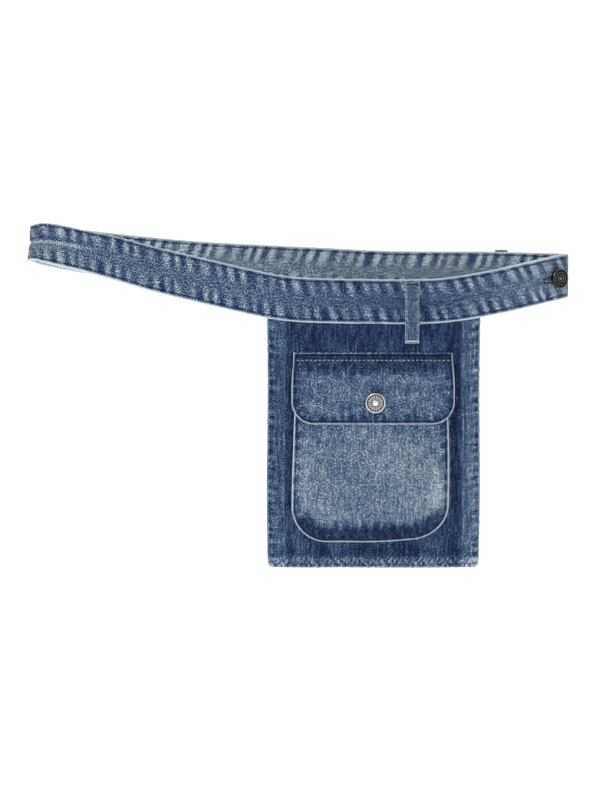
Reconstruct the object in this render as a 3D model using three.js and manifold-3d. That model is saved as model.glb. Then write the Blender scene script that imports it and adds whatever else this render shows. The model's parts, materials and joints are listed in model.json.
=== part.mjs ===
// A denim waist pack: a buttoned waistband that closes in a loop, a flat pouch hanging from its front,
// and a gusseted patch pocket with a buttoned flap. Millimetres, +Z up, +X to the wearer's left as seen from
// the front, -Y towards the viewer. The origin is on the waistband's inner face, behind the pouch's centre line.
import * as THREE from "three";
import { mergeVertices } from "three/addons/utils/BufferGeometryUtils.js";
import Module from "manifold-3d";

const wasm = await Module();
wasm.setup();

// ---------- driving dimensions ----------
const DENIM = 1.1; // thickness of one ply of heavy denim
const INTERLINING = 0.4;
const PLY_GAP = 0.2; // air left between plies that lie on each other
const BAND_WIDTH = 38;
const BAND_HALF = BAND_WIDTH / 2;
const BAND_STACK = 2 * DENIM + INTERLINING + 2 * PLY_GAP;
const LAYER_GAP = 0.6; // between the two layers of the belt where it overlaps itself
const LAYER_OFFSET = (BAND_STACK + LAYER_GAP) / 2;

// The belt's plan view, seen from above: straights and arcs, counter-clockwise from the pouch's centre line.
const FLAT_HALF = 95; // the straight stretch on each side of the pouch's centre line
const FRONT_SWEEP = { turn: 35, length: 60 };
const BUTTON_FLAT = 13; // the straight stretch under the belt's button
const RIGHT_BEND = { turn: 117, radius: 7.8 };
const BACK_TURNS = [28, 25]; // the back of the belt is two long arcs
const LEFT_BEND = { turn: 137, radius: 13 };
const LEFT_REACH = -294.5; // how far left the belt's middle surface goes

const BUTTON_TO_UNDERLAP_END = 52;
const BUTTON_TO_TAB_END = 15.5;
const BUTTON_TO_TAB_HINGE = 46;

// Height of the belt's middle line over the pouch's centre, against X, for its front and its back.
const FRONT_HEIGHTS = [
  [-294.5, 48], [-285, 48.4], [-268, 45.8], [-234, 38.9], [-191, 27.8], [-148, 17.9], [-105, 8.2], [-84, 4.0],
  [-62, 1.6], [-28, 0.5], [5, 0], [33, 0], [57, 0.9], [74, 2.9], [91, 5.8], [108, 9], [125, 12.7], [142, 16.3],
  [165, 20.8],
];
const BACK_HEIGHTS = [
  [-294.5, 48], [-285, 46], [-268, 43.2], [-234, 38], [-191, 33], [-148, 29.2], [-80, 25.5], [-37, 23.6], [13, 21.4],
  [65, 21.3], [100, 21.6], [165, 20.8],
];

// How far the belt's top edge tips back, in degrees against X. It turns about X, so that the fold at the belt's left
// end stays upright as seen from the front.
const FRONT_LEANS = [[-294.5, 39], [-284, 34], [-262, 29], [-234, 26], [-191, 15], [-148, 6], [-105, 0], [165, 0]];
const BACK_LEANS = [[-294.5, 39], [-284, 30], [-262, 14], [-234, 4], [-191, 0], [165, 0]];
const TIP_AXIS = new THREE.Vector3(1, 0, 0);

const PANEL_HALF = 91;
const PANEL_BOTTOM = -229;
const PANEL_CORNER = 7;
const PANEL_MID_Y = -1.5;
const SEAM_CLEARANCE = 0.8; // between the waistband's lower edge and the panels

const POCKET_X = -2.2;
const POCKET_TOP = -60;
const POCKET_BOTTOM = -204.5;
const POCKET_FRONT_TOP_Y = -11.5; // the pocket is deeper at its bottom than at its mouth
const POCKET_FRONT_BOTTOM_Y = -18.5;
const GUSSET_INSET = 1;

const FLAP_X = -0.6;
const FLAP_SEAM_TOP = -43.5;
const FLAP_HINGE = { y: -5.3, z: -49.8 };
const FLAP_HINGE_GAP = 0.5;
const FLAP_BOTTOM = -103.6;
const FLAP_SHELF = 12; // height over which the flap swings out from its seam to the pocket's face
const FLAP_CLEARANCE = 0.5;

const BUTTON = { x: 1.2, z: -85.5 }; // on the pocket's face
const CAP_RADIUS = 8.6;
const CAP_HEIGHT = 4.2;
const SHANK_RADIUS = 3.2;
const TACK_PIN_RADIUS = 1.1;
const TACK_HEAD_RADIUS = 4.6;
const TACK_BORE_RADIUS = 1.5;
const FLAP_WINDOW = { radius: 10.4, drop: 1 }; // cloth round the buttonhole, which stretches as the button passes
const CAP_CLEARANCE = 0.7;

const LOOP_WIDTH = 11.8;
const LOOP_THICKNESS = 1.6;
const LOOP_STANDOFF = 3.4; // a belt up to this thick passes behind the loop
const LOOP_PAD = 6.5; // length of each sewn end
const LOOP_GAP = 0.3; // air between a loop and the cloth that it is sewn to
const FRONT_LOOP = { x: 32.7, top: 16.9, bottom: -35.5 };
const REAR_LOOP = { x: 113, top: 20.5, bottom: -18 };
const BARTACK = { width: 10.4, height: 1.6, thickness: 0.5 };

const DENIM_MID = 0x5d7493;
const DENIM_DARK = 0x2c4370;
const DENIM_PALE = 0x8797a8;
const THREAD = 0xc9d0d6;

// ---------- solids ----------
function toSolid(geometry) {
  const bare = geometry.clone();
  bare.deleteAttribute("normal");
  bare.deleteAttribute("uv");
  const merged = mergeVertices(bare, 1e-4);
  const vertProperties = merged.attributes.position.array;
  const triVerts = new Uint32Array(merged.index.array);
  return new wasm.Manifold(new wasm.Mesh({ numProp: 3, vertProperties, triVerts }));
}

function toGeometry(solid) {
  const mesh = solid.getMesh();
  const geometry = new THREE.BufferGeometry();
  geometry.setAttribute("position", new THREE.BufferAttribute(new Float32Array(mesh.vertProperties), 3));
  geometry.setIndex(new THREE.BufferAttribute(new Uint32Array(mesh.triVerts), 1));
  geometry.computeVertexNormals();
  return geometry;
}

function cut(geometry, ...cutters) {
  return toGeometry(cutters.reduce((solid, cutter) => solid.subtract(toSolid(cutter)), toSolid(geometry)));
}

function common(a, b) {
  return toGeometry(toSolid(a).intersect(toSolid(b)));
}

// Moves every vertex of a geometry to where map(x, y, z) says.
function mapVertices(geometry, map) {
  const position = geometry.attributes.position;
  for (let i = 0; i < position.count; i += 1) {
    position.setXYZ(i, ...map(position.getX(i), position.getY(i), position.getZ(i)));
  }
  return geometry;
}

function materialOf(color, roughness = 0.95, metalness = 0) {
  return new THREE.MeshStandardMaterial({ color, roughness, metalness });
}

const materials = {
  band: materialOf(DENIM_MID),
  panel: materialOf(DENIM_DARK),
  faded: materialOf(DENIM_PALE),
  lining: materialOf(DENIM_MID),
  interlining: materialOf(0xe6e2d8),
  thread: materialOf(THREAD, 0.8),
  pewter: materialOf(0x8f8b88, 0.35, 1),
  black: materialOf(0x1d1d1f, 0.4, 1),
};

const group = new THREE.Group();

function addPart(name, geometry, material, frame) {
  const mesh = new THREE.Mesh(geometry, material);
  mesh.name = name;
  if (frame) mesh.applyMatrix4(frame);
  group.add(mesh);
}

// ---------- the belt's route ----------
// A smooth curve through [x, value] pairs, its slope at each taken from its neighbours.
function smoothThrough(table) {
  const last = table.length - 1;
  const slopes = table.map((_, i) => {
    const [a, b] = [table[Math.max(i - 1, 0)], table[Math.min(i + 1, last)]];
    return (b[1] - a[1]) / (b[0] - a[0]);
  });
  return (x) => {
    const clamped = THREE.MathUtils.clamp(x, table[0][0], table[last][0]);
    let i = 0;
    while (i < last - 1 && clamped > table[i + 1][0]) i += 1;
    const span = table[i + 1][0] - table[i][0];
    const t = (clamped - table[i][0]) / span;
    const rise = table[i + 1][1] - table[i][1];
    const ease = t * t * (3 - 2 * t);
    const start = t * (1 - t) * (1 - t) * span * slopes[i];
    const end = t * t * (t - 1) * span * slopes[i + 1];
    return table[i][1] + ease * rise + start + end;
  };
}

const frontHeight = smoothThrough(FRONT_HEIGHTS);
const frontValues = { height: frontHeight, lean: smoothThrough(FRONT_LEANS) };
const backValues = { height: smoothThrough(BACK_HEIGHTS), lean: smoothThrough(BACK_LEANS) };

// An arc's displacement when its heading goes from one angle to another, for a radius of 1.
function unitArc(from, to) {
  return [Math.sin(to) - Math.sin(from), Math.cos(from) - Math.cos(to)];
}

// The closed plan: the long arcs' radii are worked out so that the loop closes and reaches LEFT_REACH.
function planSegments() {
  const rad = THREE.MathUtils.degToRad;
  const h1 = rad(FRONT_SWEEP.turn);
  const h2 = h1 + rad(RIGHT_BEND.turn);
  const h3 = h2 + rad(BACK_TURNS[0]);
  const h4 = h3 + rad(BACK_TURNS[1]);
  const h5 = h4 + rad(LEFT_BEND.turn);
  const sweepRadius = FRONT_SWEEP.length / h1;
  const sweep = unitArc(0, h1);
  const bend = unitArc(h1, h2);
  const rightX = FLAT_HALF + sweepRadius * sweep[0] + BUTTON_FLAT * Math.cos(h1) + RIGHT_BEND.radius * bend[0];
  const rightY = sweepRadius * sweep[1] + BUTTON_FLAT * Math.sin(h1) + RIGHT_BEND.radius * bend[1];
  const bendX = LEFT_REACH + LEFT_BEND.radius + LEFT_BEND.radius * Math.sin(h4);
  const leftBend = unitArc(h4, h5);
  const last = unitArc(h5, 2 * Math.PI);
  const lastRadius = (-FLAT_HALF - bendX - LEFT_BEND.radius * leftBend[0]) / last[0];
  const a = unitArc(h2, h3);
  const b = unitArc(h3, h4);
  const dx = bendX - rightX;
  const dy = -rightY - LEFT_BEND.radius * leftBend[1] - lastRadius * last[1];
  const determinant = a[0] * b[1] - a[1] * b[0];
  const firstRadius = (dx * b[1] - dy * b[0]) / determinant;
  const secondRadius = (a[0] * dy - a[1] * dx) / determinant;
  return [
    { length: FLAT_HALF, turn: 0 },
    { length: FRONT_SWEEP.length, turn: h1 },
    { length: BUTTON_FLAT, turn: 0 },
    { length: RIGHT_BEND.radius * (h2 - h1), turn: h2 - h1 },
    { length: firstRadius * (h3 - h2), turn: h3 - h2 },
    { length: secondRadius * (h4 - h3), turn: h4 - h3 },
    { length: LEFT_BEND.radius * (h5 - h4), turn: h5 - h4 },
    { length: lastRadius * (2 * Math.PI - h5), turn: 2 * Math.PI - h5 },
    { length: FLAT_HALF, turn: 0 },
  ];
}

const BASE_Y = LAYER_OFFSET - BAND_STACK / 2; // puts the front layer's inner face on Y = 0
const plan = [];
let walked = { u: 0, x: 0, y: BASE_Y, heading: 0 };
for (const segment of planSegments()) {
  plan.push({ ...walked, ...segment });
  const end = planPoint(plan[plan.length - 1], segment.length);
  walked = { u: walked.u + segment.length, ...end };
}
const LOOP_LENGTH = walked.u;
const SEGMENT_ENDS = plan.map((segment) => segment.u + segment.length);
const BUTTON_U = FLAT_HALF + FRONT_SWEEP.length + BUTTON_FLAT / 2;
const BACK_START_U = SEGMENT_ENDS[3];
const LEFT_BEND_U = SEGMENT_ENDS[5];

function planPoint(segment, along) {
  const heading = segment.heading + (segment.turn * along) / segment.length;
  if (Math.abs(segment.turn) < 1e-9) {
    const x = segment.x + along * Math.cos(heading);
    return { x, y: segment.y + along * Math.sin(heading), heading };
  }
  const radius = segment.length / segment.turn;
  const [dx, dy] = unitArc(segment.heading, heading);
  return { x: segment.x + radius * dx, y: segment.y + radius * dy, heading };
}

function planAt(u) {
  const wrapped = ((u % LOOP_LENGTH) + LOOP_LENGTH) % LOOP_LENGTH;
  const segment = plan.find((s) => wrapped <= s.u + s.length + 1e-9) ?? plan[plan.length - 1];
  return planPoint(segment, wrapped - segment.u);
}

function beltValue(name, u) {
  const { x, heading } = planAt(u);
  return (Math.cos(heading) >= 0 ? frontValues : backValues)[name](x);
}

// The belt's frame at u: its middle point, and its directions along, outwards and across towards the top edge.
function beltFrame(u) {
  const { x, y, heading } = planAt(u);
  const step = 1.5;
  const climb = Math.atan2(beltValue("height", u + step) - beltValue("height", u - step), 2 * step);
  const [c, s] = [Math.cos(heading), Math.sin(heading)];
  const along = new THREE.Vector3(c * Math.cos(climb), s * Math.cos(climb), Math.sin(climb));
  const lean = -THREE.MathUtils.degToRad(beltValue("lean", u));
  return {
    point: new THREE.Vector3(x, y, beltValue("height", u)),
    along,
    out: new THREE.Vector3(s, -c, 0).applyAxisAngle(TIP_AXIS, lean),
    across: new THREE.Vector3(-c * Math.sin(climb), -s * Math.sin(climb), Math.cos(climb)).applyAxisAngle(TIP_AXIS, lean),
  };
}

// The inner layer carries the button, and the belt moves to the outer layer on its way round the back.
function layerOffset(u) {
  const share = THREE.MathUtils.smoothstep(u, BACK_START_U, LEFT_BEND_U);
  return LAYER_OFFSET * (2 * share - 1);
}

// Places along the belt between from and to, closer together where it turns tightly.
function stationsBetween(from, to) {
  const longest = 17;
  const widestTurn = THREE.MathUtils.degToRad(12);
  const stations = [from];
  for (let turn = 0; turn < 2; turn += 1) {
    for (const segment of plan) {
      const start = Math.max(from, segment.u + turn * LOOP_LENGTH);
      const end = Math.min(to, segment.u + segment.length + turn * LOOP_LENGTH);
      if (end - start < 0.05) continue;
      const turned = (segment.turn * (end - start)) / segment.length;
      const steps = Math.ceil(Math.max((end - start) / longest, turned / widestTurn));
      for (let i = 1; i <= steps; i += 1) stations.push(start + ((end - start) * i) / steps);
    }
  }
  return stations;
}

// A closed strip through rings of four corners: outer top, outer bottom, inner bottom and inner top.
function stripThrough(rings) {
  const index = [];
  const quad = (a, b, c, d) => index.push(a, b, c, a, c, d);
  for (let p = 0; p < 4 * (rings.length - 1); p += 4) {
    const q = p + 4;
    quad(p, p + 1, q + 1, q);
    quad(p + 1, p + 2, q + 2, q + 1);
    quad(p + 3, q + 3, q + 2, p + 2);
    quad(p + 3, p, q, q + 3);
  }
  const last = 4 * (rings.length - 1);
  quad(0, 3, 2, 1);
  quad(last, last + 1, last + 2, last + 3);
  const geometry = new THREE.BufferGeometry().setFromPoints(rings.flat());
  return geometry.setIndex(index);
}

// A flat strip of cloth bent along the belt, its middle at a distance outwards from the belt's middle surface.
function beltStrip(from, to, outwards, thickness) {
  const half = thickness / 2;
  const corners = [[half, 1], [half, -1], [-half, -1], [-half, 1]];
  const rings = stationsBetween(from, to).map((u) => {
    const { point, out, across } = beltFrame(u);
    const offset = layerOffset(u) + outwards;
    return corners.map(([depth, side]) =>
      point.clone().addScaledVector(out, offset + depth).addScaledVector(across, side * BAND_HALF),
    );
  });
  return stripThrough(rings);
}

// A matrix whose X runs along the belt, Y across it and Z outwards, on the belt's base surface.
function beltMatrix(u) {
  const { point, along, out, across } = beltFrame(u);
  return new THREE.Matrix4().makeBasis(along, across, out).setPosition(point);
}

const PLIES = [
  { suffix: "inner_ply", outwards: -(INTERLINING / 2 + PLY_GAP + DENIM / 2), thickness: DENIM, material: "lining" },
  { suffix: "interlining", outwards: 0, thickness: INTERLINING, material: "interlining" },
  { suffix: "outer_ply", outwards: INTERLINING / 2 + PLY_GAP + DENIM / 2, thickness: DENIM, material: "band" },
];

// ---------- buttons ----------
// A hollow pressed cap in a lathe's frame: +Y is outwards and the profile closes on the axis.
function capGeometry() {
  const profile = [
    [0, 1.2], [SHANK_RADIUS + 0.3, 1.2], [SHANK_RADIUS + 0.6, 0.9], [6.9, 0.9], [7.2, 0], [8.1, 0], [8.6, 0.6],
    [8.6, 1.8], [8.1, 2.4], [7.3, 2.3], [6.9, 1.9], [5.6, 2.5], [4.0, 3.2], [2.6, 3.5], [2.3, 3.1], [1.7, 3.1],
    [1.3, 3.9], [0.7, 4.2], [0, 4.2],
  ];
  const points = profile.map(([r, y]) => new THREE.Vector2((r * CAP_RADIUS) / 8.6, (y * CAP_HEIGHT) / 4.2));
  return new THREE.LatheGeometry(points, 32);
}

// The collar that the cap turns with, bored for the tack's pin.
function shankGeometry(length) {
  const profile = [
    [TACK_BORE_RADIUS, 0], [SHANK_RADIUS + 0.6, 0], [SHANK_RADIUS, 0.6], [SHANK_RADIUS, length],
    [TACK_BORE_RADIUS, length], [TACK_BORE_RADIUS, 0],
  ];
  return new THREE.LatheGeometry(profile.map(([r, y]) => new THREE.Vector2(r, y)), 24);
}

// A nail driven from behind: its head lies on the cloth's back and its pin ends inside the shank.
function tackGeometry(pinLength) {
  const head = 0.9;
  const profile = [
    [0, -head], [TACK_HEAD_RADIUS - 0.5, -head], [TACK_HEAD_RADIUS, -head / 2], [TACK_HEAD_RADIUS, 0],
    [TACK_PIN_RADIUS, 0], [TACK_PIN_RADIUS, pinLength - 0.8], [0, pinLength],
  ];
  return new THREE.LatheGeometry(profile.map(([r, y]) => new THREE.Vector2(r, y)), 24);
}

// Adds a cap, shank and tack along an axis. Distances run outwards from the frame's origin.
function addButton(prefix, frame, clothBack, clothFront, capBase, material) {
  const lift = (geometry, distance) => geometry.rotateX(Math.PI / 2).translate(0, 0, distance);
  const collarStart = clothFront + 0.2;
  const collarLength = capBase + 1.0 - collarStart;
  addPart(`${prefix}_cap`, lift(capGeometry(), capBase), materials[material], frame);
  addPart(`${prefix}_shank`, lift(shankGeometry(collarLength), collarStart), materials[material], frame);
  const pinLength = collarStart + collarLength - 0.5 - (clothBack - 0.2);
  addPart(`${prefix}_tack`, lift(tackGeometry(pinLength), clothBack - 0.2), materials.pewter, frame);
}

function cylinderAlongZ(radius, height, z) {
  return new THREE.CylinderGeometry(radius, radius, height, 32).rotateX(Math.PI / 2).translate(0, 0, z);
}

// ---------- belt ----------
const UNDERLAP_END_U = BUTTON_U - BUTTON_TO_UNDERLAP_END;
const TAB_HINGE_U = LOOP_LENGTH + BUTTON_U - BUTTON_TO_TAB_HINGE;
const TAB_END_U = LOOP_LENGTH + BUTTON_U + BUTTON_TO_TAB_END;
const TAB_HINGE_GAP = 1.2;
const beltButtonFrame = beltMatrix(BUTTON_U);

const tackHole = cylinderAlongZ(TACK_BORE_RADIUS, 2 * BAND_STACK, -LAYER_OFFSET).applyMatrix4(beltButtonFrame);

// The oval of cloth round the belt's buttonhole, which stretches as the button passes.
const TAB_WINDOW = { half: 9.4, inwards: 14, endwards: 12.4 };
function ovalShape(grow) {
  const shape = new THREE.Shape();
  const radius = TAB_WINDOW.half + grow;
  shape.absarc(TAB_WINDOW.endwards - TAB_WINDOW.half, 0, radius, -Math.PI / 2, Math.PI / 2, false);
  shape.absarc(TAB_WINDOW.half - TAB_WINDOW.inwards, 0, radius, Math.PI / 2, (3 * Math.PI) / 2, false);
  return shape;
}
function extruded(shape, depth, from, curveSegments = 12) {
  return new THREE.ExtrudeGeometry(shape, { depth, bevelEnabled: false, curveSegments }).translate(0, 0, from);
}
const tabWindow = extruded(ovalShape(0), 20, -6).applyMatrix4(beltButtonFrame);

for (const { suffix, outwards, thickness, material } of PLIES) {
  const round = beltStrip(UNDERLAP_END_U, TAB_HINGE_U - TAB_HINGE_GAP / 2, outwards, thickness);
  addPart(`belt_${suffix}`, cut(round, tackHole), materials[material]);
  const tab = beltStrip(TAB_HINGE_U + TAB_HINGE_GAP / 2, TAB_END_U, outwards, thickness);
  addPart(`belt_end_${suffix}`, cut(tab, tabWindow), materials[material]);
}

// The lips of the belt's buttonhole: the window's cloth, cut back at its rim, with a slot for the shank.
function buttonholeSlot(towards, length, from, depth) {
  const width = 2 * (SHANK_RADIUS + 0.5);
  const slot = new THREE.Shape();
  const [dx, dy] = towards;
  slot.absarc(0, 0, width / 2, 0, 2 * Math.PI, false);
  const slit = new THREE.BoxGeometry(dx ? length : 1.6, dy ? length : 1.6, depth);
  slit.translate((dx * length) / 2, (dy * length) / 2, from + depth / 2);
  return [extruded(slot, depth, from), slit];
}
const tabStrip = beltStrip(TAB_HINGE_U + TAB_HINGE_GAP, TAB_END_U - 0.5, 0, BAND_STACK - 0.6);
const tabLips = common(tabStrip, extruded(ovalShape(-0.3), 20, -6).applyMatrix4(beltButtonFrame));
const tabSlots = buttonholeSlot([-1, 0], 12, -6, 20).map((slot) => slot.applyMatrix4(beltButtonFrame));
addPart("belt_end_buttonhole", cut(tabLips, ...tabSlots), materials.band);

const innerLayerBack = -LAYER_OFFSET - BAND_STACK / 2;
const innerLayerFront = -LAYER_OFFSET + BAND_STACK / 2;
const outerLayerFront = LAYER_OFFSET + BAND_STACK / 2;
addButton("belt_button", beltButtonFrame, innerLayerBack, innerLayerFront, outerLayerFront + CAP_CLEARANCE, "black");

// ---------- panels ----------
function panelTop(x) {
  const slope = (frontHeight(x + 1) - frontHeight(x - 1)) / 2;
  return frontHeight(x) - (BAND_HALF + SEAM_CLEARANCE) * Math.hypot(1, slope);
}

function panelShape() {
  const shape = new THREE.Shape();
  const steps = 14;
  for (let i = 0; i <= steps; i += 1) {
    const x = PANEL_HALF - (2 * PANEL_HALF * i) / steps;
    if (i === 0) shape.moveTo(x, panelTop(x));
    else shape.lineTo(x, panelTop(x));
  }
  shape.lineTo(-PANEL_HALF, PANEL_BOTTOM + PANEL_CORNER);
  shape.absarc(-PANEL_HALF + PANEL_CORNER, PANEL_BOTTOM + PANEL_CORNER, PANEL_CORNER, Math.PI, 1.5 * Math.PI, false);
  shape.absarc(PANEL_HALF - PANEL_CORNER, PANEL_BOTTOM + PANEL_CORNER, PANEL_CORNER, 1.5 * Math.PI, 2 * Math.PI, false);
  return shape;
}

// A shape drawn in X and Z, given thickness along Y from one plane to another nearer the viewer.
function upright(shape, backY, frontY, curveSegments = 8) {
  const depth = backY - frontY;
  const flat = new THREE.ExtrudeGeometry(shape, { depth, bevelEnabled: false, curveSegments });
  return mapVertices(flat, (x, y, z) => [x, backY - z, y]);
}

const panelBackY = PANEL_MID_Y + PLY_GAP / 2;
addPart("back_panel", upright(panelShape(), panelBackY + DENIM, panelBackY), materials.lining);
const panelFrontY = PANEL_MID_Y - PLY_GAP / 2 - DENIM;
addPart("front_panel", upright(panelShape(), panelFrontY + DENIM, panelFrontY), materials.panel);

// ---------- patch pocket ----------
// The pocket's outline: nearly straight sides that swell towards the bottom, round corners and a slight arch.
function pocketShape(inset) {
  const shape = new THREE.Shape();
  const top = POCKET_TOP;
  const [mouth, belly] = [64.5 - inset, 68.8 - inset];
  const bottom = POCKET_BOTTOM + inset;
  shape.moveTo(mouth, top);
  shape.lineTo(-mouth, top);
  shape.bezierCurveTo(-mouth - 2, top - 35, -belly, top - 65, -belly, top - 98);
  shape.bezierCurveTo(-belly, top - 126, -belly + 14, bottom + 4.5, -30, bottom + 1);
  shape.quadraticCurveTo(0, bottom - 0.6, 30, bottom + 1);
  shape.bezierCurveTo(belly - 14, bottom + 4.5, belly, top - 126, belly, top - 98);
  shape.bezierCurveTo(belly, top - 65, mouth + 2, top - 35, mouth, top);
  return shape;
}

function pocketFaceY(z) {
  const share = (POCKET_TOP - z) / (POCKET_TOP - POCKET_BOTTOM);
  return POCKET_FRONT_TOP_Y + share * (POCKET_FRONT_BOTTOM_Y - POCKET_FRONT_TOP_Y);
}

// A shape on the pocket's slanting face, from a depth behind the face to a depth nearer it.
function onPocketFace(shape, behind, nearer, curveSegments = 8) {
  const flat = new THREE.ExtrudeGeometry(shape, { depth: 1, bevelEnabled: false, curveSegments });
  flat.translate(POCKET_X, 0, 0);
  return mapVertices(flat, (x, y, z) => [x, pocketFaceY(y) + behind + (nearer - behind) * z, y]);
}

// A frame on the pocket's face at the button: X across, Y up the face and Z outwards.
const faceSlope = pocketFaceY(1) - pocketFaceY(0);
const pocketButtonFrame = new THREE.Matrix4()
  .makeRotationX(Math.PI / 2 - Math.atan(faceSlope))
  .setPosition(BUTTON.x, pocketFaceY(BUTTON.z), BUTTON.z);

const faceTackHole = cylinderAlongZ(TACK_BORE_RADIUS, 20, 0).applyMatrix4(pocketButtonFrame);
addPart("pocket_front", cut(onPocketFace(pocketShape(0), DENIM, 0), faceTackHole), materials.faded);

// The gusset is a U of cloth between the panel and the pocket's front, open at the mouth.
function gussetGeometry() {
  const outer = pocketShape(GUSSET_INSET);
  const inner = pocketShape(GUSSET_INSET + DENIM);
  const wide = 200;
  const ring = cut(extruded(outer, 1, 0, 8), extruded(inner, 3, -1, 8));
  const mouth = new THREE.BoxGeometry(wide, 2, 3).translate(0, POCKET_TOP, 0);
  return mapVertices(cut(ring, mouth), (x, y, z) => {
    const nearPanel = panelFrontY - PLY_GAP;
    const nearFace = pocketFaceY(y) + DENIM + PLY_GAP;
    return [x + POCKET_X, nearPanel + (nearFace - nearPanel) * z, y];
  });
}
addPart("pocket_gusset", gussetGeometry(), materials.faded);

// The turned-in hem across the pocket's mouth.
const MOUTH_FACING = { half: 60.5, height: 14 };
function mouthFacingShape() {
  const shape = new THREE.Shape();
  const [half, low] = [MOUTH_FACING.half, POCKET_TOP - 0.4 - MOUTH_FACING.height];
  shape.moveTo(half, POCKET_TOP - 0.4);
  shape.lineTo(-half, POCKET_TOP - 0.4);
  shape.lineTo(-half, low);
  shape.lineTo(half, low);
  return shape;
}
const facingFar = 2 * DENIM + PLY_GAP;
addPart("pocket_mouth_facing", onPocketFace(mouthFacingShape(), facingFar, DENIM + PLY_GAP), materials.faded);

// ---------- flap ----------
// The flap's outline below its hinge line, with round lower corners; inset draws it smaller.
function flapShape(inset) {
  const shape = new THREE.Shape();
  const top = FLAP_HINGE.z - FLAP_HINGE_GAP;
  const [upper, lower] = [67.6 - inset, 69.8 - inset];
  const bottom = FLAP_BOTTOM + inset;
  shape.moveTo(upper, top);
  shape.lineTo(-upper, top);
  shape.quadraticCurveTo(-lower, top - 14, -lower, top - 31);
  shape.bezierCurveTo(-lower, top - 44, -lower + 8, bottom + 2.4, -44, bottom + 1.2);
  shape.quadraticCurveTo(0, bottom - 1, 44, bottom + 1.2);
  shape.bezierCurveTo(lower - 8, bottom + 2.4, lower, top - 44, lower, top - 31);
  shape.quadraticCurveTo(lower, top - 14, upper, top);
  return shape;
}

// How far forward the flap's underside is at a height: out over the pocket's mouth, then down its face.
function flapUndersideY(z) {
  const start = panelFrontY - 0.4;
  const rest = Math.min(pocketFaceY(z), POCKET_FRONT_TOP_Y) - FLAP_CLEARANCE;
  const share = THREE.MathUtils.clamp((FLAP_HINGE.z - z) / FLAP_SHELF, 0, 1);
  return start + (rest - start) * Math.sin((share * Math.PI) / 2);
}

// A ply of the flap: its outline cut from a sheet that follows the flap's profile.
function flapPly(shape, under, over) {
  const rows = 26;
  const height = 62;
  const sheet = new THREE.BoxGeometry(160, height, 1, 1, rows, 1);
  mapVertices(sheet, (x, y, z) => {
    const level = FLAP_HINGE.z - height / 2 + 3 + y;
    const depth = z < 0 ? under : over;
    return [x + FLAP_X, flapUndersideY(level) - depth, level];
  });
  const outline = upright(shape, 10, -40, 10).translate(FLAP_X, 0, 0);
  return common(sheet, outline);
}

function flapWindow(inset) {
  const hole = cylinderAlongZ(FLAP_WINDOW.radius - inset, 30, 0);
  return hole.translate(0, -FLAP_WINDOW.drop, 0).applyMatrix4(pocketButtonFrame);
}

const flapInset = 0.6; // the lining is a little smaller than the outer ply
const flapStack = 2 * DENIM + PLY_GAP;
addPart("flap_lining", cut(flapPly(flapShape(flapInset), 0, DENIM), flapWindow(0)), materials.lining);
const flapOuter = flapPly(flapShape(0), DENIM + PLY_GAP, flapStack);
addPart("flap_outer", cut(flapOuter, flapWindow(0)), materials.faded);

const flapLips = common(flapPly(flapShape(0), 0.3, flapStack - 0.3), flapWindow(0.3));
const flapSlots = buttonholeSlot([0, 1], 8.2, -10, 30).map((slot) => slot.applyMatrix4(pocketButtonFrame));
addPart("flap_buttonhole", cut(flapLips, ...flapSlots), materials.faded);

// The strip of the flap above its stitch line stays sewn to the pouch.
const seamStripHeight = FLAP_SEAM_TOP - FLAP_HINGE.z - FLAP_HINGE_GAP;
const seamStrip = new THREE.BoxGeometry(2 * 67.6, flapStack, seamStripHeight);
seamStrip.translate(FLAP_X, panelFrontY - PLY_GAP - flapStack / 2, FLAP_SEAM_TOP - seamStripHeight / 2);
addPart("flap_seam_strip", seamStrip, materials.panel);

const flapFace = FLAP_CLEARANCE + flapStack;
addButton("pocket_button", pocketButtonFrame, -DENIM, 0, flapFace + CAP_CLEARANCE, "pewter");

// ---------- belt loops ----------
// A belt loop in its own frame: X across the loop, Y up it and Z outwards from the cloth, its ends sewn flat.
function loopGeometry(top, bottom) {
  const shape = new THREE.Shape();
  const [near, far] = [LOOP_GAP, LOOP_STANDOFF];
  const end = LOOP_THICKNESS * 1.5; // each end is folded under, so it is thicker
  const rise = 4;
  shape.moveTo(top, near);
  shape.lineTo(top - LOOP_PAD, near);
  shape.bezierCurveTo(top - LOOP_PAD - 1, near + 2, top - LOOP_PAD - 1, far, top - LOOP_PAD - rise, far);
  shape.lineTo(bottom + LOOP_PAD + rise, far);
  shape.bezierCurveTo(bottom + LOOP_PAD + 1, far, bottom + LOOP_PAD + 1, near + 2, bottom + LOOP_PAD, near);
  shape.lineTo(bottom, near);
  shape.lineTo(bottom, near + end);
  shape.lineTo(bottom + LOOP_PAD - 3, near + end);
  const outer = far + LOOP_THICKNESS;
  shape.bezierCurveTo(bottom + LOOP_PAD - 1.5, outer, bottom + LOOP_PAD, outer, bottom + LOOP_PAD + rise, outer);
  shape.lineTo(top - LOOP_PAD - rise, outer);
  shape.bezierCurveTo(top - LOOP_PAD, outer, top - LOOP_PAD + 1.5, outer, top - LOOP_PAD + 3, near + end);
  shape.lineTo(top, near + end);
  const solid = new THREE.ExtrudeGeometry(shape, { depth: LOOP_WIDTH, bevelEnabled: false, curveSegments: 6 });
  return mapVertices(solid, (x, y, z) => [z - LOOP_WIDTH / 2, x, y]);
}

function bartackGeometry(height) {
  const { width, height: tall, thickness } = BARTACK;
  const out = LOOP_GAP + LOOP_THICKNESS * 1.5 + 0.1 + thickness / 2;
  return new THREE.BoxGeometry(width, tall, thickness).translate(0, height, out);
}

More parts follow.
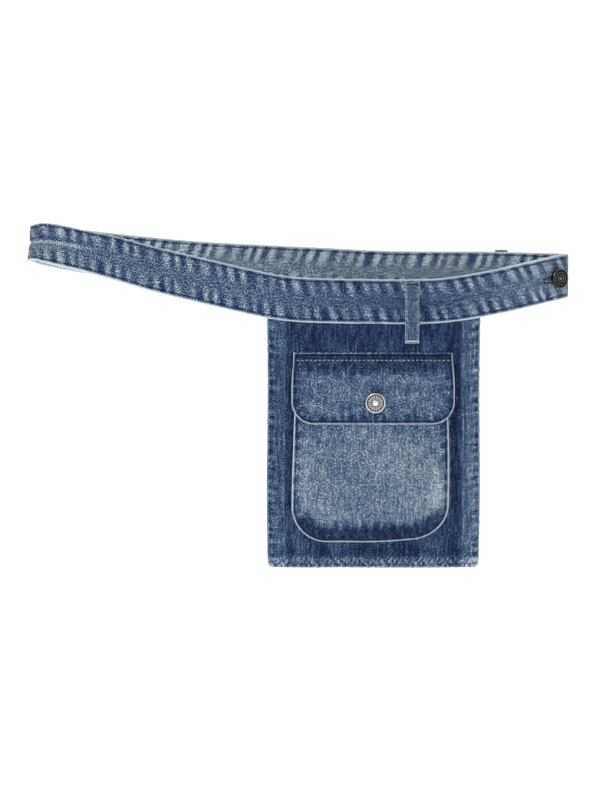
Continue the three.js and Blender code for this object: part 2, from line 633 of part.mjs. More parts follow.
function addLoop(prefix, frame, top, bottom) {
  addPart(`${prefix}_belt_loop`, loopGeometry(top, bottom), materials.band, frame);
  addPart(`${prefix}_loop_upper_bartack`, bartackGeometry(top - 1.8), materials.thread, frame);
  addPart(`${prefix}_loop_lower_bartack`, bartackGeometry(bottom + 1.8), materials.thread, frame);
}

const frontLoopFrame = new THREE.Matrix4()
  .makeBasis(new THREE.Vector3(1, 0, 0), new THREE.Vector3(0, 0, 1), new THREE.Vector3(0, -1, 0))
  .setPosition(FRONT_LOOP.x, -BAND_STACK, 0);
addLoop("front", frontLoopFrame, FRONT_LOOP.top, FRONT_LOOP.bottom);

// The rear loop stands on the outside of the belt's back, square to it.
let rearLoopU = BACK_START_U;
while (planAt(rearLoopU).x > REAR_LOOP.x) rearLoopU += 0.5;
const { point, along, out, across } = beltFrame(rearLoopU);
point.addScaledVector(out, layerOffset(rearLoopU) + BAND_STACK / 2);
const rearLoopFrame = new THREE.Matrix4().makeBasis(along, across, out).setPosition(point);
addLoop("rear", rearLoopFrame, REAR_LOOP.top, REAR_LOOP.bottom);

export default group;
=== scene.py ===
"""A washed denim waist pack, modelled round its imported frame.

Everything is worked out in millimetres in the frame's own axes and stored in metres: +X towards the
buttoned end of the waistband, +Y towards the wearer, +Z up, with the origin on the waistband's inner face
behind the pouch.
"""
import json
import logging
import math
from dataclasses import dataclass, field
from enum import Enum
from typing import Callable, Optional, Sequence

import bpy
import numpy as np
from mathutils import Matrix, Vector


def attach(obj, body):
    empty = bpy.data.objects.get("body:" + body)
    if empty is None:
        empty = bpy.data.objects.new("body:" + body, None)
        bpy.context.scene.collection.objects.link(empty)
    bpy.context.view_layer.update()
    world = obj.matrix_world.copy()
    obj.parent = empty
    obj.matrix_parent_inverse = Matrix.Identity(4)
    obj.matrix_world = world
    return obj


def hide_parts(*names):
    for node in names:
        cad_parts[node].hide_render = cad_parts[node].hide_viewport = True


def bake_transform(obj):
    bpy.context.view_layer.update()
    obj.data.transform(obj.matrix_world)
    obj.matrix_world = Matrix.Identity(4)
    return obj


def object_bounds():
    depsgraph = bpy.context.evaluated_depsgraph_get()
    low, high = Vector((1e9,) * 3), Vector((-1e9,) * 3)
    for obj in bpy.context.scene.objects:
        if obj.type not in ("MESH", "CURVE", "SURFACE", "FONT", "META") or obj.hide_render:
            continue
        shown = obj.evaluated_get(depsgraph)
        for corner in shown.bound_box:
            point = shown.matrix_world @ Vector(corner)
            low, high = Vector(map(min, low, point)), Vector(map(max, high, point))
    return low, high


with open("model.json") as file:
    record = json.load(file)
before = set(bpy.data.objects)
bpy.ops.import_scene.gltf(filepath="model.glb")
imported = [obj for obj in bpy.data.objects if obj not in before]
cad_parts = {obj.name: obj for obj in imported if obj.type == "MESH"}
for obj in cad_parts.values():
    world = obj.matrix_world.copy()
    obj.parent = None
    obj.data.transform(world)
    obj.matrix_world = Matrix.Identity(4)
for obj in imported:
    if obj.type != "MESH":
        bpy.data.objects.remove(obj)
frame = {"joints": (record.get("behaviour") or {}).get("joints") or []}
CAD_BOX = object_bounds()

MM = 0.001
LOG = logging.getLogger("waist_pack")
Array = np.ndarray

BAND_WIDTH = 38.0
SEAM_INSET = 2.95  # from a finished edge to its row of stitches
STITCH_PITCH = 3.2  # from one stitch to the next
# Distances from a finished edge at which the cloth has lines of vertices.
EDGE_STEPS = (0, 0.12, 0.45, 1.0, 1.7, 2.4, 2.95, 3.5, 4.6, 6.2, 8.2, 10.4, 13)
# Distances from a turned edge, and the cloth's thickness there as a share of its thickness elsewhere.
EDGE_ROLL = (
    (0, 0.12, 0.45, 1.0, 1.7, 2.4, 2.95, 3.5, 4.6, 8.2, 10.4),
    (0.12, 0.55, 0.95, 1.15, 1.18, 1.02, 0.78, 1.0, 1.12, 1.08, 1.0),
)


class Side(Enum):
    """The two faces of a piece of cloth."""

    FACE = 1
    BACK = -1


# ------------------------------------------------------------ small numeric helpers
def smooth(low: float, high: float, value: Array) -> Array:
    """A smooth step.

    Args:
        low: Where the step begins.
        high: Where it ends; it may be below low, for a step down.
        value: The places to work it out at.

    Returns:
        0 before low, 1 after high, and an eased value between them.
    """
    share = np.clip((np.asarray(value, float) - low) / (high - low), 0, 1)
    return share * share * (3 - 2 * share)


def bell(centre: float, width: float, value: Array) -> Array:
    """A bell curve of height 1 and the given half width about a centre."""
    return np.exp(-(((np.asarray(value, float) - centre) / width) ** 2))


def spaced(*runs: tuple[float, float, float]) -> Array:
    """Places along a line, in runs of (start, end, longest step), joined without repeats."""
    places = [np.array([runs[0][0]], float)]
    for start, end, step in runs:
        count = max(1, math.ceil(abs(end - start) / step - 1e-6))
        places.append(start + (end - start) * np.arange(1, count + 1) / count)
    return np.concatenate(places)


def mirrored(steps: Sequence[float], reach: float, pitch: float) -> Array:
    """Places from -reach to +reach, close together at both ends.

    Args:
        steps: Distances in from each end, rising from 0.
        reach: Half of the whole span.
        pitch: The longest step in the middle.

    Returns:
        The places, in order.
    """
    ends = np.array(steps, float)
    inner = reach - ends[-1]
    middle = spaced((-inner, inner, pitch))
    return np.concatenate([-reach + ends[:-1], middle, (reach - ends[:-1])[::-1]])


def pucker(run: Array, distance: Array, pitch: float, seed: float, slant: float = 0.0) -> Array:
    """The ripple that a shrunken seam pulls into the cloth beside it.

    Args:
        run: Place along the seam.
        distance: Distance from the finished edge.
        pitch: Mean length of one ripple.
        seed: Chooses which ripple.
        slant: How far the ripple leans along the seam for each millimetre in from the edge.

    Returns:
        The ripple's height, from about -1 to 1.
    """
    place = run + slant * distance
    turn = 2 * math.pi / pitch
    wander = 0.9 * np.sin(turn * place / 3.7 + seed) + 0.35 * np.sin(turn * place / 1.63 + 2.3 * seed)
    swell = 0.74 + 0.26 * np.sin(turn * place / 4.3 + 4.1 * seed)
    return np.tanh(1.9 * np.sin(turn * place + wander)) * swell


def rolled_edge(distance: Array, body: float) -> Array:
    """Half the thickness of turned and stitched cloth, against distance from its finished edge."""
    return np.interp(distance, *EDGE_ROLL) * body


# ------------------------------------------------------------ the belt's route
@dataclass(frozen=True)
class BeltRoute:
    """The waistband's route in plan, its height and its lean, as the solids have them."""

    flat_half: float = 95.0
    sweep: tuple[float, float] = (35.0, 60.0)
    button_flat: float = 13.0
    right_bend: tuple[float, float] = (117.0, 7.8)
    back_turns: tuple[float, float] = (28.0, 25.0)
    left_bend: tuple[float, float] = (137.0, 13.0)
    left_reach: float = -294.5
    layer_offset: float = 1.8
    base_y: float = 0.3
    front_heights: tuple = (
        (-294.5, 48), (-285, 48.4), (-268, 45.8), (-234, 38.9), (-191, 27.8), (-148, 17.9), (-105, 8.2),
        (-84, 4.0), (-62, 1.6), (-28, 0.5), (5, 0), (33, 0), (57, 0.9), (74, 2.9), (91, 5.8), (108, 9),
        (125, 12.7), (142, 16.3), (165, 20.8),
    )
    back_heights: tuple = (
        (-294.5, 48), (-285, 46), (-268, 43.2), (-234, 38), (-191, 33), (-148, 29.2), (-80, 25.5),
        (-37, 23.6), (13, 21.4), (65, 21.3), (100, 21.6), (165, 20.8),
    )
    front_leans: tuple = (
        (-294.5, 39), (-284, 34), (-262, 29), (-234, 26), (-191, 15), (-148, 6), (-105, 0), (165, 0),
    )
    back_leans: tuple = ((-294.5, 39), (-284, 30), (-262, 14), (-234, 4), (-191, 0), (165, 0))
    parts: list = field(default_factory=list)

    def __post_init__(self) -> None:
        """Works out the plan's straights and arcs so that the loop closes."""
        h1 = math.radians(self.sweep[0])
        h2 = h1 + math.radians(self.right_bend[0])
        h3 = h2 + math.radians(self.back_turns[0])
        h4 = h3 + math.radians(self.back_turns[1])
        h5 = h4 + math.radians(self.left_bend[0])
        whole = 2 * math.pi
        right, left = self.right_bend[1], self.left_bend[1]
        sweep_radius = self.sweep[1] / h1
        first, bend = self.unit_arc(0, h1), self.unit_arc(h1, h2)
        right_x = self.flat_half + sweep_radius * first[0]
        right_x += self.button_flat * math.cos(h1) + right * bend[0]
        right_y = sweep_radius * first[1] + self.button_flat * math.sin(h1) + right * bend[1]
        bend_x = self.left_reach + left + left * math.sin(h4)
        left_arc, last = self.unit_arc(h4, h5), self.unit_arc(h5, whole)
        last_radius = (-self.flat_half - bend_x - left * left_arc[0]) / last[0]
        a, b = self.unit_arc(h2, h3), self.unit_arc(h3, h4)
        dx = bend_x - right_x
        dy = -right_y - left * left_arc[1] - last_radius * last[1]
        determinant = a[0] * b[1] - a[1] * b[0]
        radius_a = (dx * b[1] - dy * b[0]) / determinant
        radius_b = (a[0] * dy - a[1] * dx) / determinant
        pairs = [
            (self.flat_half, 0), (self.sweep[1], h1), (self.button_flat, 0), (right * (h2 - h1), h2 - h1),
            (radius_a * (h3 - h2), h3 - h2), (radius_b * (h4 - h3), h4 - h3), (left * (h5 - h4), h5 - h4),
            (last_radius * (whole - h5), whole - h5), (self.flat_half, 0),
        ]
        u, x, y, heading = 0.0, 0.0, self.base_y, 0.0
        for length, turn in pairs:
            self.parts.append((u, x, y, heading, length, turn))
            x, y, heading = (float(v) for v in self.along(self.parts[-1], np.array(length)))
            u += length

    @staticmethod
    def unit_arc(start: float, end: float) -> tuple[float, float]:
        """An arc's displacement between two headings, for a radius of 1."""
        return math.sin(end) - math.sin(start), math.cos(start) - math.cos(end)

    @staticmethod
    def along(part: tuple, distance: Array) -> tuple[Array, Array, Array]:
        """Place and heading at distances along one straight or arc of the plan."""
        _, x, y, heading, length, turn = part
        now = heading + turn * distance / length
        if abs(turn) < 1e-9:
            return x + distance * math.cos(heading), y + distance * math.sin(heading), now
        radius = length / turn
        forth, aside = np.sin(now) - math.sin(heading), math.cos(heading) - np.cos(now)
        return x + radius * forth, y + radius * aside, now

    @property
    def length(self) -> float:
        """The whole loop's length."""
        return self.parts[-1][0] + self.parts[-1][4]

    @property
    def button_u(self) -> float:
        """Where the waistband's button stands."""
        return self.parts[2][0] + self.button_flat / 2

    def plan(self, u: Array) -> tuple[Array, Array, Array]:
        """X, Y and heading at places along the loop."""
        u = np.mod(np.asarray(u, float), self.length)
        x, y, heading = np.zeros_like(u), np.zeros_like(u), np.zeros_like(u)
        for part in self.parts:
            inside = (u >= part[0]) & (u <= part[0] + part[4] + 1e-9)
            px, py, ph = self.along(part, u - part[0])
            x, y, heading = np.where(inside, px, x), np.where(inside, py, y), np.where(inside, ph, heading)
        return x, y, heading

    @staticmethod
    def through(table: Sequence[tuple[float, float]], x: Array) -> Array:
        """A smooth curve through pairs, its slope at each taken from its neighbours."""
        xs, ys = np.array([p[0] for p in table], float), np.array([p[1] for p in table], float)
        last = len(xs) - 1
        before, after = np.maximum(np.arange(last + 1) - 1, 0), np.minimum(np.arange(last + 1) + 1, last)
        slopes = (ys[after] - ys[before]) / (xs[after] - xs[before])
        x = np.clip(x, xs[0], xs[-1])
        i = np.clip(np.searchsorted(xs, x, side="left") - 1, 0, last - 1)
        span = xs[i + 1] - xs[i]
        t = (x - xs[i]) / span
        ease = t * t * (3 - 2 * t)
        start, end = t * (1 - t) ** 2 * span * slopes[i], t * t * (t - 1) * span * slopes[i + 1]
        return ys[i] + ease * (ys[i + 1] - ys[i]) + start + end

    def value(self, front: tuple, back: tuple, u: Array) -> Array:
        """A front table's value on the front half of the loop and a back table's on the other."""
        x, _, heading = self.plan(u)
        return np.where(np.cos(heading) >= 0, self.through(front, x), self.through(back, x))

    def frame(self, u: Array) -> tuple[Array, Array, Array]:
        """The belt's middle point, outward direction and direction across towards the top edge."""
        u = np.asarray(u, float)
        x, y, heading = self.plan(u)
        height = self.value(self.front_heights, self.back_heights, u)
        reach = 1.5
        rise = self.value(self.front_heights, self.back_heights, u + reach)
        rise = rise - self.value(self.front_heights, self.back_heights, u - reach)
        climb = np.arctan2(rise, 2 * reach)
        lean = -np.radians(self.value(self.front_leans, self.back_leans, u))
        c, s = np.cos(heading), np.sin(heading)
        zero = np.zeros_like(u)
        out = np.stack([s, -c, zero], -1)
        across = np.stack([-c * np.sin(climb), -s * np.sin(climb), np.cos(climb)], -1)
        return np.stack([x, y, height], -1), self.tipped(out, lean), self.tipped(across, lean)

    @staticmethod
    def tipped(direction: Array, lean: Array) -> Array:
        """A direction turned about the X axis."""
        turn, side = np.cos(lean), np.sin(lean)
        x, y, z = direction[..., 0], direction[..., 1], direction[..., 2]
        return np.stack([x, y * turn - z * side, y * side + z * turn], -1)

    def layer(self, u: Array) -> Array:
        """Distance outwards of the belt's own middle surface from the route's."""
        start, end = self.parts[4][0], self.parts[6][0]
        return self.layer_offset * (2 * smooth(start, end, u) - 1)


ROUTE = BeltRoute()


# ------------------------------------------------------------ working in Blender
def deselect() -> None:
    """Leaves nothing selected and no object in edit mode."""
    if bpy.context.object and bpy.context.object.mode != "OBJECT":
        bpy.ops.object.mode_set(mode="OBJECT")
    bpy.ops.object.select_all(action="DESELECT")


def activate(piece: bpy.types.Object) -> None:
    """Makes a piece the only selected and active object."""
    deselect()
    piece.select_set(True)
    bpy.context.view_layer.objects.active = piece


def face_outwards(piece: bpy.types.Object) -> None:
    """Turns a closed piece's faces outwards and smooths its shading."""
    activate(piece)
    bpy.ops.object.mode_set(mode="EDIT")
    bpy.ops.mesh.select_all(action="SELECT")
    bpy.ops.mesh.normals_make_consistent(inside=False)
    bpy.ops.object.mode_set(mode="OBJECT")
    bpy.ops.object.shade_smooth()
    deselect()


def places_of(piece: bpy.types.Object) -> Array:
    """A mesh's vertex places, in metres."""
    places = np.empty(len(piece.data.vertices) * 3, np.float32)
    piece.data.vertices.foreach_get("co", places)
    return places.reshape(-1, 3).astype(float)


def set_places(piece: bpy.types.Object, places: Array) -> None:
    """Moves a mesh's vertices to places given in millimetres."""
    piece.data.vertices.foreach_set("co", (places * MM).astype(np.float32).ravel())
    piece.data.update()


def write_attribute(piece: bpy.types.Object, name: str, values: Array) -> None:
    """Stores a number or a vector for each vertex of a mesh."""
    kind, key = ("FLOAT", "value") if values.ndim == 1 else ("FLOAT_VECTOR", "vector")
    attribute = piece.data.attributes.get(name) or piece.data.attributes.new(name, kind, "POINT")
    attribute.data.foreach_set(key, values.astype(np.float32).ravel())


def read_attribute(piece: bpy.types.Object, name: str) -> Array:
    """A number stored for each vertex of a mesh."""
    values = np.empty(len(piece.data.vertices), np.float32)
    piece.data.attributes[name].data.foreach_get("value", values)
    return values.astype(float)


# ------------------------------------------------------------ cloth
@dataclass(frozen=True)
class Slit:
    """A buttonhole's cut, along a line of constant across (upright) or constant along (level) place."""

    line: float
    start: float
    end: float
    upright: bool


class Cloth:
    """A piece of sewn cloth: a grid on its cutting pattern, thickened, then laid where it hangs.

    A pattern place is (across, along) in millimetres. Subclasses say where each one lies, how worn it is and
    what light and shade is painted on it.
    """

    name: str
    slit: Optional[Slit] = None
    outline: Optional["Outline"] = None

    def columns(self) -> Array:
        """Places across the pattern."""
        raise NotImplementedError

    def rows(self) -> Array:
        """Places along the pattern."""
        raise NotImplementedError

    def surface(self, across: Array, along: Array, side: Array, gap: Array) -> Array:
        """Where pattern places lie.

        Args:
            across: Places across the pattern.
            along: Places along it.
            side: 1 on the cloth's face and -1 on its back.
            gap: -1 and 1 on the two lips of the slit, and 0 elsewhere.

        Returns:
            Points in millimetres, one row for each place.
        """
        raise NotImplementedError

    def colouring(self, across: Array, along: Array, side: Array) -> tuple[Array, Array, Array]:
        """How worn pattern places are, with the light and shade painted on some pieces.

        Returns:
            The tone from 0, dark, to 1, pale; the distance from the nearest finished edge; the seam ripple.
        """
        raise NotImplementedError

    def run(self, across: Array, along: Array) -> Array:
        """Place along the nearest seam, for its stitch marks."""
        return self.outline.run(across, along) if self.outline else across

    def threads(self, across: Array, along: Array) -> tuple[Array, Array]:
        """Place in the cloth's own weave, across and along its warp."""
        return self.outline.rounded(across, along) if self.outline else (across, along)

    def build(self) -> bpy.types.Object:
        """Makes the piece."""
        columns, rows = self.columns(), self.rows()
        deselect()
        wide, tall = len(columns) - 1, len(rows) - 1
        bpy.ops.mesh.primitive_grid_add(x_subdivisions=wide, y_subdivisions=tall, size=2)
        piece = bpy.context.object
        piece.name = piece.data.name = self.name
        flat = places_of(piece)
        i = np.rint((flat[:, 0] + 1) / 2 * wide).astype(int)
        j = np.rint((flat[:, 1] + 1) / 2 * tall).astype(int)
        write_attribute(piece, "pattern_across", columns[i])
        write_attribute(piece, "pattern_along", rows[j])
        write_attribute(piece, "pattern_gap", np.zeros(len(i)))
        if self.slit:
            self.cut_slit(piece)
        self.thicken(piece)
        across, along = read_attribute(piece, "pattern_across"), read_attribute(piece, "pattern_along")
        gap = read_attribute(piece, "pattern_gap")
        side = np.where(places_of(piece)[:, 2] > 0, 1.0, -1.0)
        set_places(piece, self.surface(across, along, side, gap))
        # The tone holds the cloth's wear and, on some pieces, painted light and shade.
        tone, distance, ripple = self.colouring(across, along, side)
        write_attribute(piece, "weave", np.stack([*self.threads(across, along), tone], 1))
        write_attribute(piece, "seam", np.stack([distance, self.run(across, along), ripple], 1))
        for name in ("pattern_across", "pattern_along", "pattern_gap"):
            piece.data.attributes.remove(piece.data.attributes[name])
        while piece.data.uv_layers:
            piece.data.uv_layers.remove(piece.data.uv_layers[0])
        face_outwards(piece)
        return piece

    def cut_slit(self, piece: bpy.types.Object) -> None:
        """Splits the grid along the slit, and marks which lip each new vertex is on."""
        names = ("pattern_across", "pattern_along")
        if not self.slit.upright:
            names = names[::-1]
        start, end, near = self.slit.start, self.slit.end, 1e-3
        fixed, free = (read_attribute(piece, name) for name in names)
        line = fixed[np.argmin(np.abs(fixed - self.slit.line))]
        inside = (np.abs(fixed - line) < near) & (free >= start - near) & (free <= end + near)
        activate(piece)
        mesh = piece.data
        for part in (mesh.vertices, mesh.edges, mesh.polygons):
            part.foreach_set("select", [False] * len(part))
        ends = np.empty(len(mesh.edges) * 2, int)
        mesh.edges.foreach_get("vertices", ends)
        chosen = inside[ends.reshape(-1, 2)].all(1)
        bpy.context.tool_settings.mesh_select_mode = (False, True, False)
        mesh.edges.foreach_set("select", chosen)
        bpy.ops.object.mode_set(mode="EDIT")
        bpy.ops.mesh.edge_split(type="EDGE")
        bpy.ops.object.mode_set(mode="OBJECT")
        fixed, free = (read_attribute(piece, name) for name in names)
        total, count = np.zeros(len(fixed)), np.zeros(len(fixed))
        for face in mesh.polygons:
            corners = list(face.vertices)
            total[corners] += fixed[corners].mean() - line
            count[corners] += 1
        lip = (np.abs(fixed - line) < near) & (free > start + near) & (free < end - near)
        write_attribute(piece, "pattern_gap", np.where(lip, np.sign(total / np.maximum(count, 1)), 0.0))

    @staticmethod
    def thicken(piece: bpy.types.Object) -> None:
        """Gives the flat grid a face and a back."""
        activate(piece)
        plies = piece.modifiers.new("plies", "SOLIDIFY")
        plies.thickness = 1.0
        plies.offset = 0.0
        plies.use_even_offset = False
        bpy.ops.object.modifier_apply(modifier=plies.name)


@dataclass(frozen=True)
class Outline:
    """A rectangle on the pattern with round lower corners, measured from its finished edge."""

    centre: float
    half: float
    top: float
    bottom: float
    radius: float

    def corner(self, across: Array, along: Array) -> tuple[Array, Array, Array]:
        """How far into its corner square a place is: outwards, downwards and the larger of both."""
        outwards = self.radius - (self.half - np.abs(across - self.centre))
        downwards = self.radius - (along - self.bottom)
        inside = (outwards > 0) & (downwards > 0)
        larger = np.maximum(outwards, downwards)
        return np.where(inside, outwards, 0), np.where(inside, downwards, 0), larger

    def rounded(self, across: Array, along: Array) -> tuple[Array, Array]:
        """Places with the lower corners' squares drawn in to quarter circles."""
        outwards, downwards, larger = self.corner(across, along)
        reach = np.hypot(outwards, downwards)
        inside = reach > 1e-9
        pull = np.where(inside, larger / np.where(inside, reach, 1), 1)
        side = np.sign(across - self.centre)
        x = np.where(inside, self.centre + side * (self.half - self.radius + outwards * pull), across)
        z = np.where(inside, self.bottom + self.radius - downwards * pull, along)
        return x, z

    def distance(self, across: Array, along: Array) -> Array:
        """Distance from the sides and the bottom."""
        return np.minimum(self.half - np.abs(across - self.centre), along - self.bottom)

    def run(self, across: Array, along: Array) -> Array:
        """Length along the edge from the top left corner, down, round and up to the top right one."""
        outwards, downwards, _ = self.corner(across, along)
        turn = np.arctan2(downwards, outwards)
        offset = np.abs(across - self.centre)
        on_bottom = self.straight + self.arc + np.maximum(self.inner - offset, 0)
        on_side = np.where(self.half - offset > along - self.bottom, on_bottom, self.top - along)
        length = np.where((outwards > 0) & (downwards > 0), self.straight + self.radius * turn, on_side)
        return np.where(across < self.centre, length, self.length - length)

    @property
    def straight(self) -> float:
        """The length of one side, above its corner."""
        return self.top - self.bottom - self.radius

    @property
    def arc(self) -> float:
        """The length of one corner."""
        return self.radius * math.pi / 2

    @property
    def inner(self) -> float:
        """Half the length of the bottom, between its corners."""
        return self.half - self.radius

    @property
    def length(self) -> float:
        """The length of the sides, the corners and the bottom together."""
        return 2 * (self.straight + self.arc + self.inner)

    @property
    def flat(self) -> tuple[float, float]:
        """The whole pattern's width and height, in metres."""
        return 2 * self.half * MM, (self.top - self.bottom) * MM

    def point(self, run: Array, inset: Array) -> tuple[Array, Array]:
        """The place at a length along the edge, at a distance in from it."""
        near = np.minimum(run, self.length - run)
        side = np.where(run < self.length / 2, -1.0, 1.0)
        turn = np.clip((near - self.straight) / self.radius, 0, math.pi / 2)
        reach = self.radius - inset
        rest = np.maximum(near - self.straight - self.arc, 0)
        x = self.centre + side * (self.inner + reach * np.cos(turn) - rest)
        low = self.bottom + self.radius - reach * np.sin(turn)
        return x, np.where(near < self.straight, self.top - near, low)

    def squared(self, run: Array, inset: float) -> tuple[Array, Array]:
        """The same place as point gives, on the square pattern behind the round corners."""
        turn = np.clip((np.minimum(run, self.length - run) - self.straight) / self.radius, 0, math.pi / 2)
        x, z = self.point(run, inset)
        inside = (turn > 0) & (turn < math.pi / 2)
        stretch = np.where(inside, 1 / np.maximum(np.cos(turn), np.sin(turn)), 1.0)
        side = np.sign(x - self.centre)
        reach = self.radius - inset
        square_x = self.centre + side * self.inner + side * reach * np.cos(turn) * stretch
        square_z = self.bottom + self.radius - reach * np.sin(turn) * stretch
        return np.where(inside, square_x, x), np.where(inside, square_z, z)


@dataclass
class BandCloth(Cloth):
    """A stretch of the waistband, both plies and the stiffener sewn together."""

    name: str
    start: float
    end: float
    finished_start: bool = False
    finished_end: bool = False
    slit: Optional[Slit] = None
    half_width: float = BAND_WIDTH / 2
    eye: float = 4.2  # from the slit's end to the wider place where the button's shank sits
    corner: float = 2.2
    body: float = 1.32
    step: float = 2.0
    slit_step: float = 0.8

    def columns(self) -> Array:
        """Places along the belt; the band's pattern has its length as its across direction."""
        fine = np.array(EDGE_STEPS[:9])
        begin = self.start + fine if self.finished_start else np.array([self.start])
        finish = self.end - fine[::-1] if self.finished_end else np.array([self.end])
        runs = [(begin[-1], finish[0], self.step)]
        if self.slit:
            low, high = self.slit.start - 1, self.slit.end + 1
            runs = [(begin[-1], low, self.step), (low, high, self.slit_step), (high, finish[0], self.step)]
        return np.concatenate([begin, spaced(*runs)[1:], finish[1:]])

    def rows(self) -> Array:
        """Places across the belt, from its lower to its upper edge."""
        return mirrored(EDGE_STEPS, self.half_width, 1.6)

    def ripple(self, u: Array, v: Array) -> Array:
        """The seam ripple from both of the band's edges."""
        reach = [0, 2, 3.2, 9, 13, 16.5]
        share = [0.3, 0.55, 1.0, 1.0, 0.5, 0.0]
        upper, lower = self.half_width - v, self.half_width + v
        top = pucker(u, upper, 11.5, 1.7, -0.35) * np.interp(upper, reach, share)
        low = pucker(u, lower, 10.6, 4.4, 0.3) * np.interp(lower, reach, share)
        return top + low

    def distance(self, u: Array, v: Array) -> Array:
        """Distance from the nearest finished edge."""
        nearest = self.half_width - np.abs(v)
        if self.finished_start:
            nearest = np.minimum(nearest, u - self.start)
        if self.finished_end:
            nearest = np.minimum(nearest, self.end - u)
        return nearest

    def crease(self, u: Array, v: Array) -> Array:
        """The lengthwise crease beside the left bend."""
        middle = 1.5 + 0.03 * (u - 690)
        return bell(0, 1.6, v - middle) * smooth(648, 664, u) * smooth(742, 700, u)

    def surface(self, across: Array, along: Array, side: Array, gap: Array) -> Array:
        """Where the band lies."""
        u, v = across.copy(), along.copy()
        distance = self.distance(u, v)
        ripple = self.ripple(u, v)
        ends = ((self.finished_start, self.start, -1), (self.finished_end, self.end, 1))
        for end, sign in (place[1:] for place in ends if place[0]):
            outwards, upwards = self.corner - np.abs(end - u), self.corner - (self.half_width - np.abs(v))
            inside = (outwards > 0) & (upwards > 0)
            reach = np.hypot(np.where(inside, outwards, 1), np.where(inside, upwards, 1))
            pull = np.where(inside, np.maximum(outwards, upwards) / np.maximum(reach, 1e-9), 1)
            u = np.where(inside, end - sign * self.corner + sign * outwards * pull, u)
            v = np.where(inside, np.sign(v) * (self.half_width - self.corner + upwards * pull), v)
        v = v + 0.28 * ripple * bell(0, 1.6, distance) * np.sign(v)
        if self.slit:
            share = np.clip((across - self.slit.start) / (self.slit.end - self.slit.start), 0, 1)
            eye = 2.6 * bell(self.slit.end - self.eye, 3.4, across)
            opening = 0.55 * np.sin(math.pi * share) ** 0.6 + eye
            opening = opening * ((across > self.slit.start) & (across < self.slit.end))
            lip = np.where(gap != 0, gap, np.sign(along))
            v = v + lip * opening * np.exp(-np.abs(along) / 4.5)
        point, out, up = ROUTE.frame(u)
        x = point[:, 0]
        loose = smooth(96, 74, x)
        waves = 0.55 * np.sin(u / 13.2 + 0.7) * (v / 19) ** 2 + 0.4 * np.sin(u / 9.1 + v / 13)
        depth = ROUTE.layer(u) + side * rolled_edge(distance, self.body)
        depth = depth + 0.3 * ripple * (0.35 + 0.65 * loose) + waves * loose - 1.5 * self.crease(u, v)
        return point + out * depth[:, None] + up * v[:, None]

    def colouring(self, across: Array, along: Array, side: Array) -> tuple[Array, Array, Array]:
        """How faded the band is: blotched along both seams, plainer and darker between them, with painted
        light and shade along the crease.
        """
        u, v = across, along
        x, _, heading = ROUTE.plan(u)
        ripple = self.ripple(u, v)
        front = np.cos(heading) > 0
        tone = 0.45 + np.where(side < 0, 0.4, 0.34) * ripple - 0.04 * bell(0, 5, v)
        tone = tone - front * 0.16 * bell(38, 42, x) * bell(-3, 12, v) - front * 0.07 * bell(-40, 60, x)
        tone = tone + front * 0.1 * smooth(95, 150, x) + front * 0.08 * smooth(-200, -285, x)
        # Painted light and shade of the crease: a pale line along its lower lip and a dark one 3.2 mm above
        # it.
        tone = tone + 0.42 * self.crease(u, v) - 0.25 * self.crease(u, v - 3.2)
        tone = tone + np.where(side < 0, 0.2, 0.0)
        distance = self.distance(u, v)
        return tone, np.where(v < 0, distance - 0.35, distance), ripple


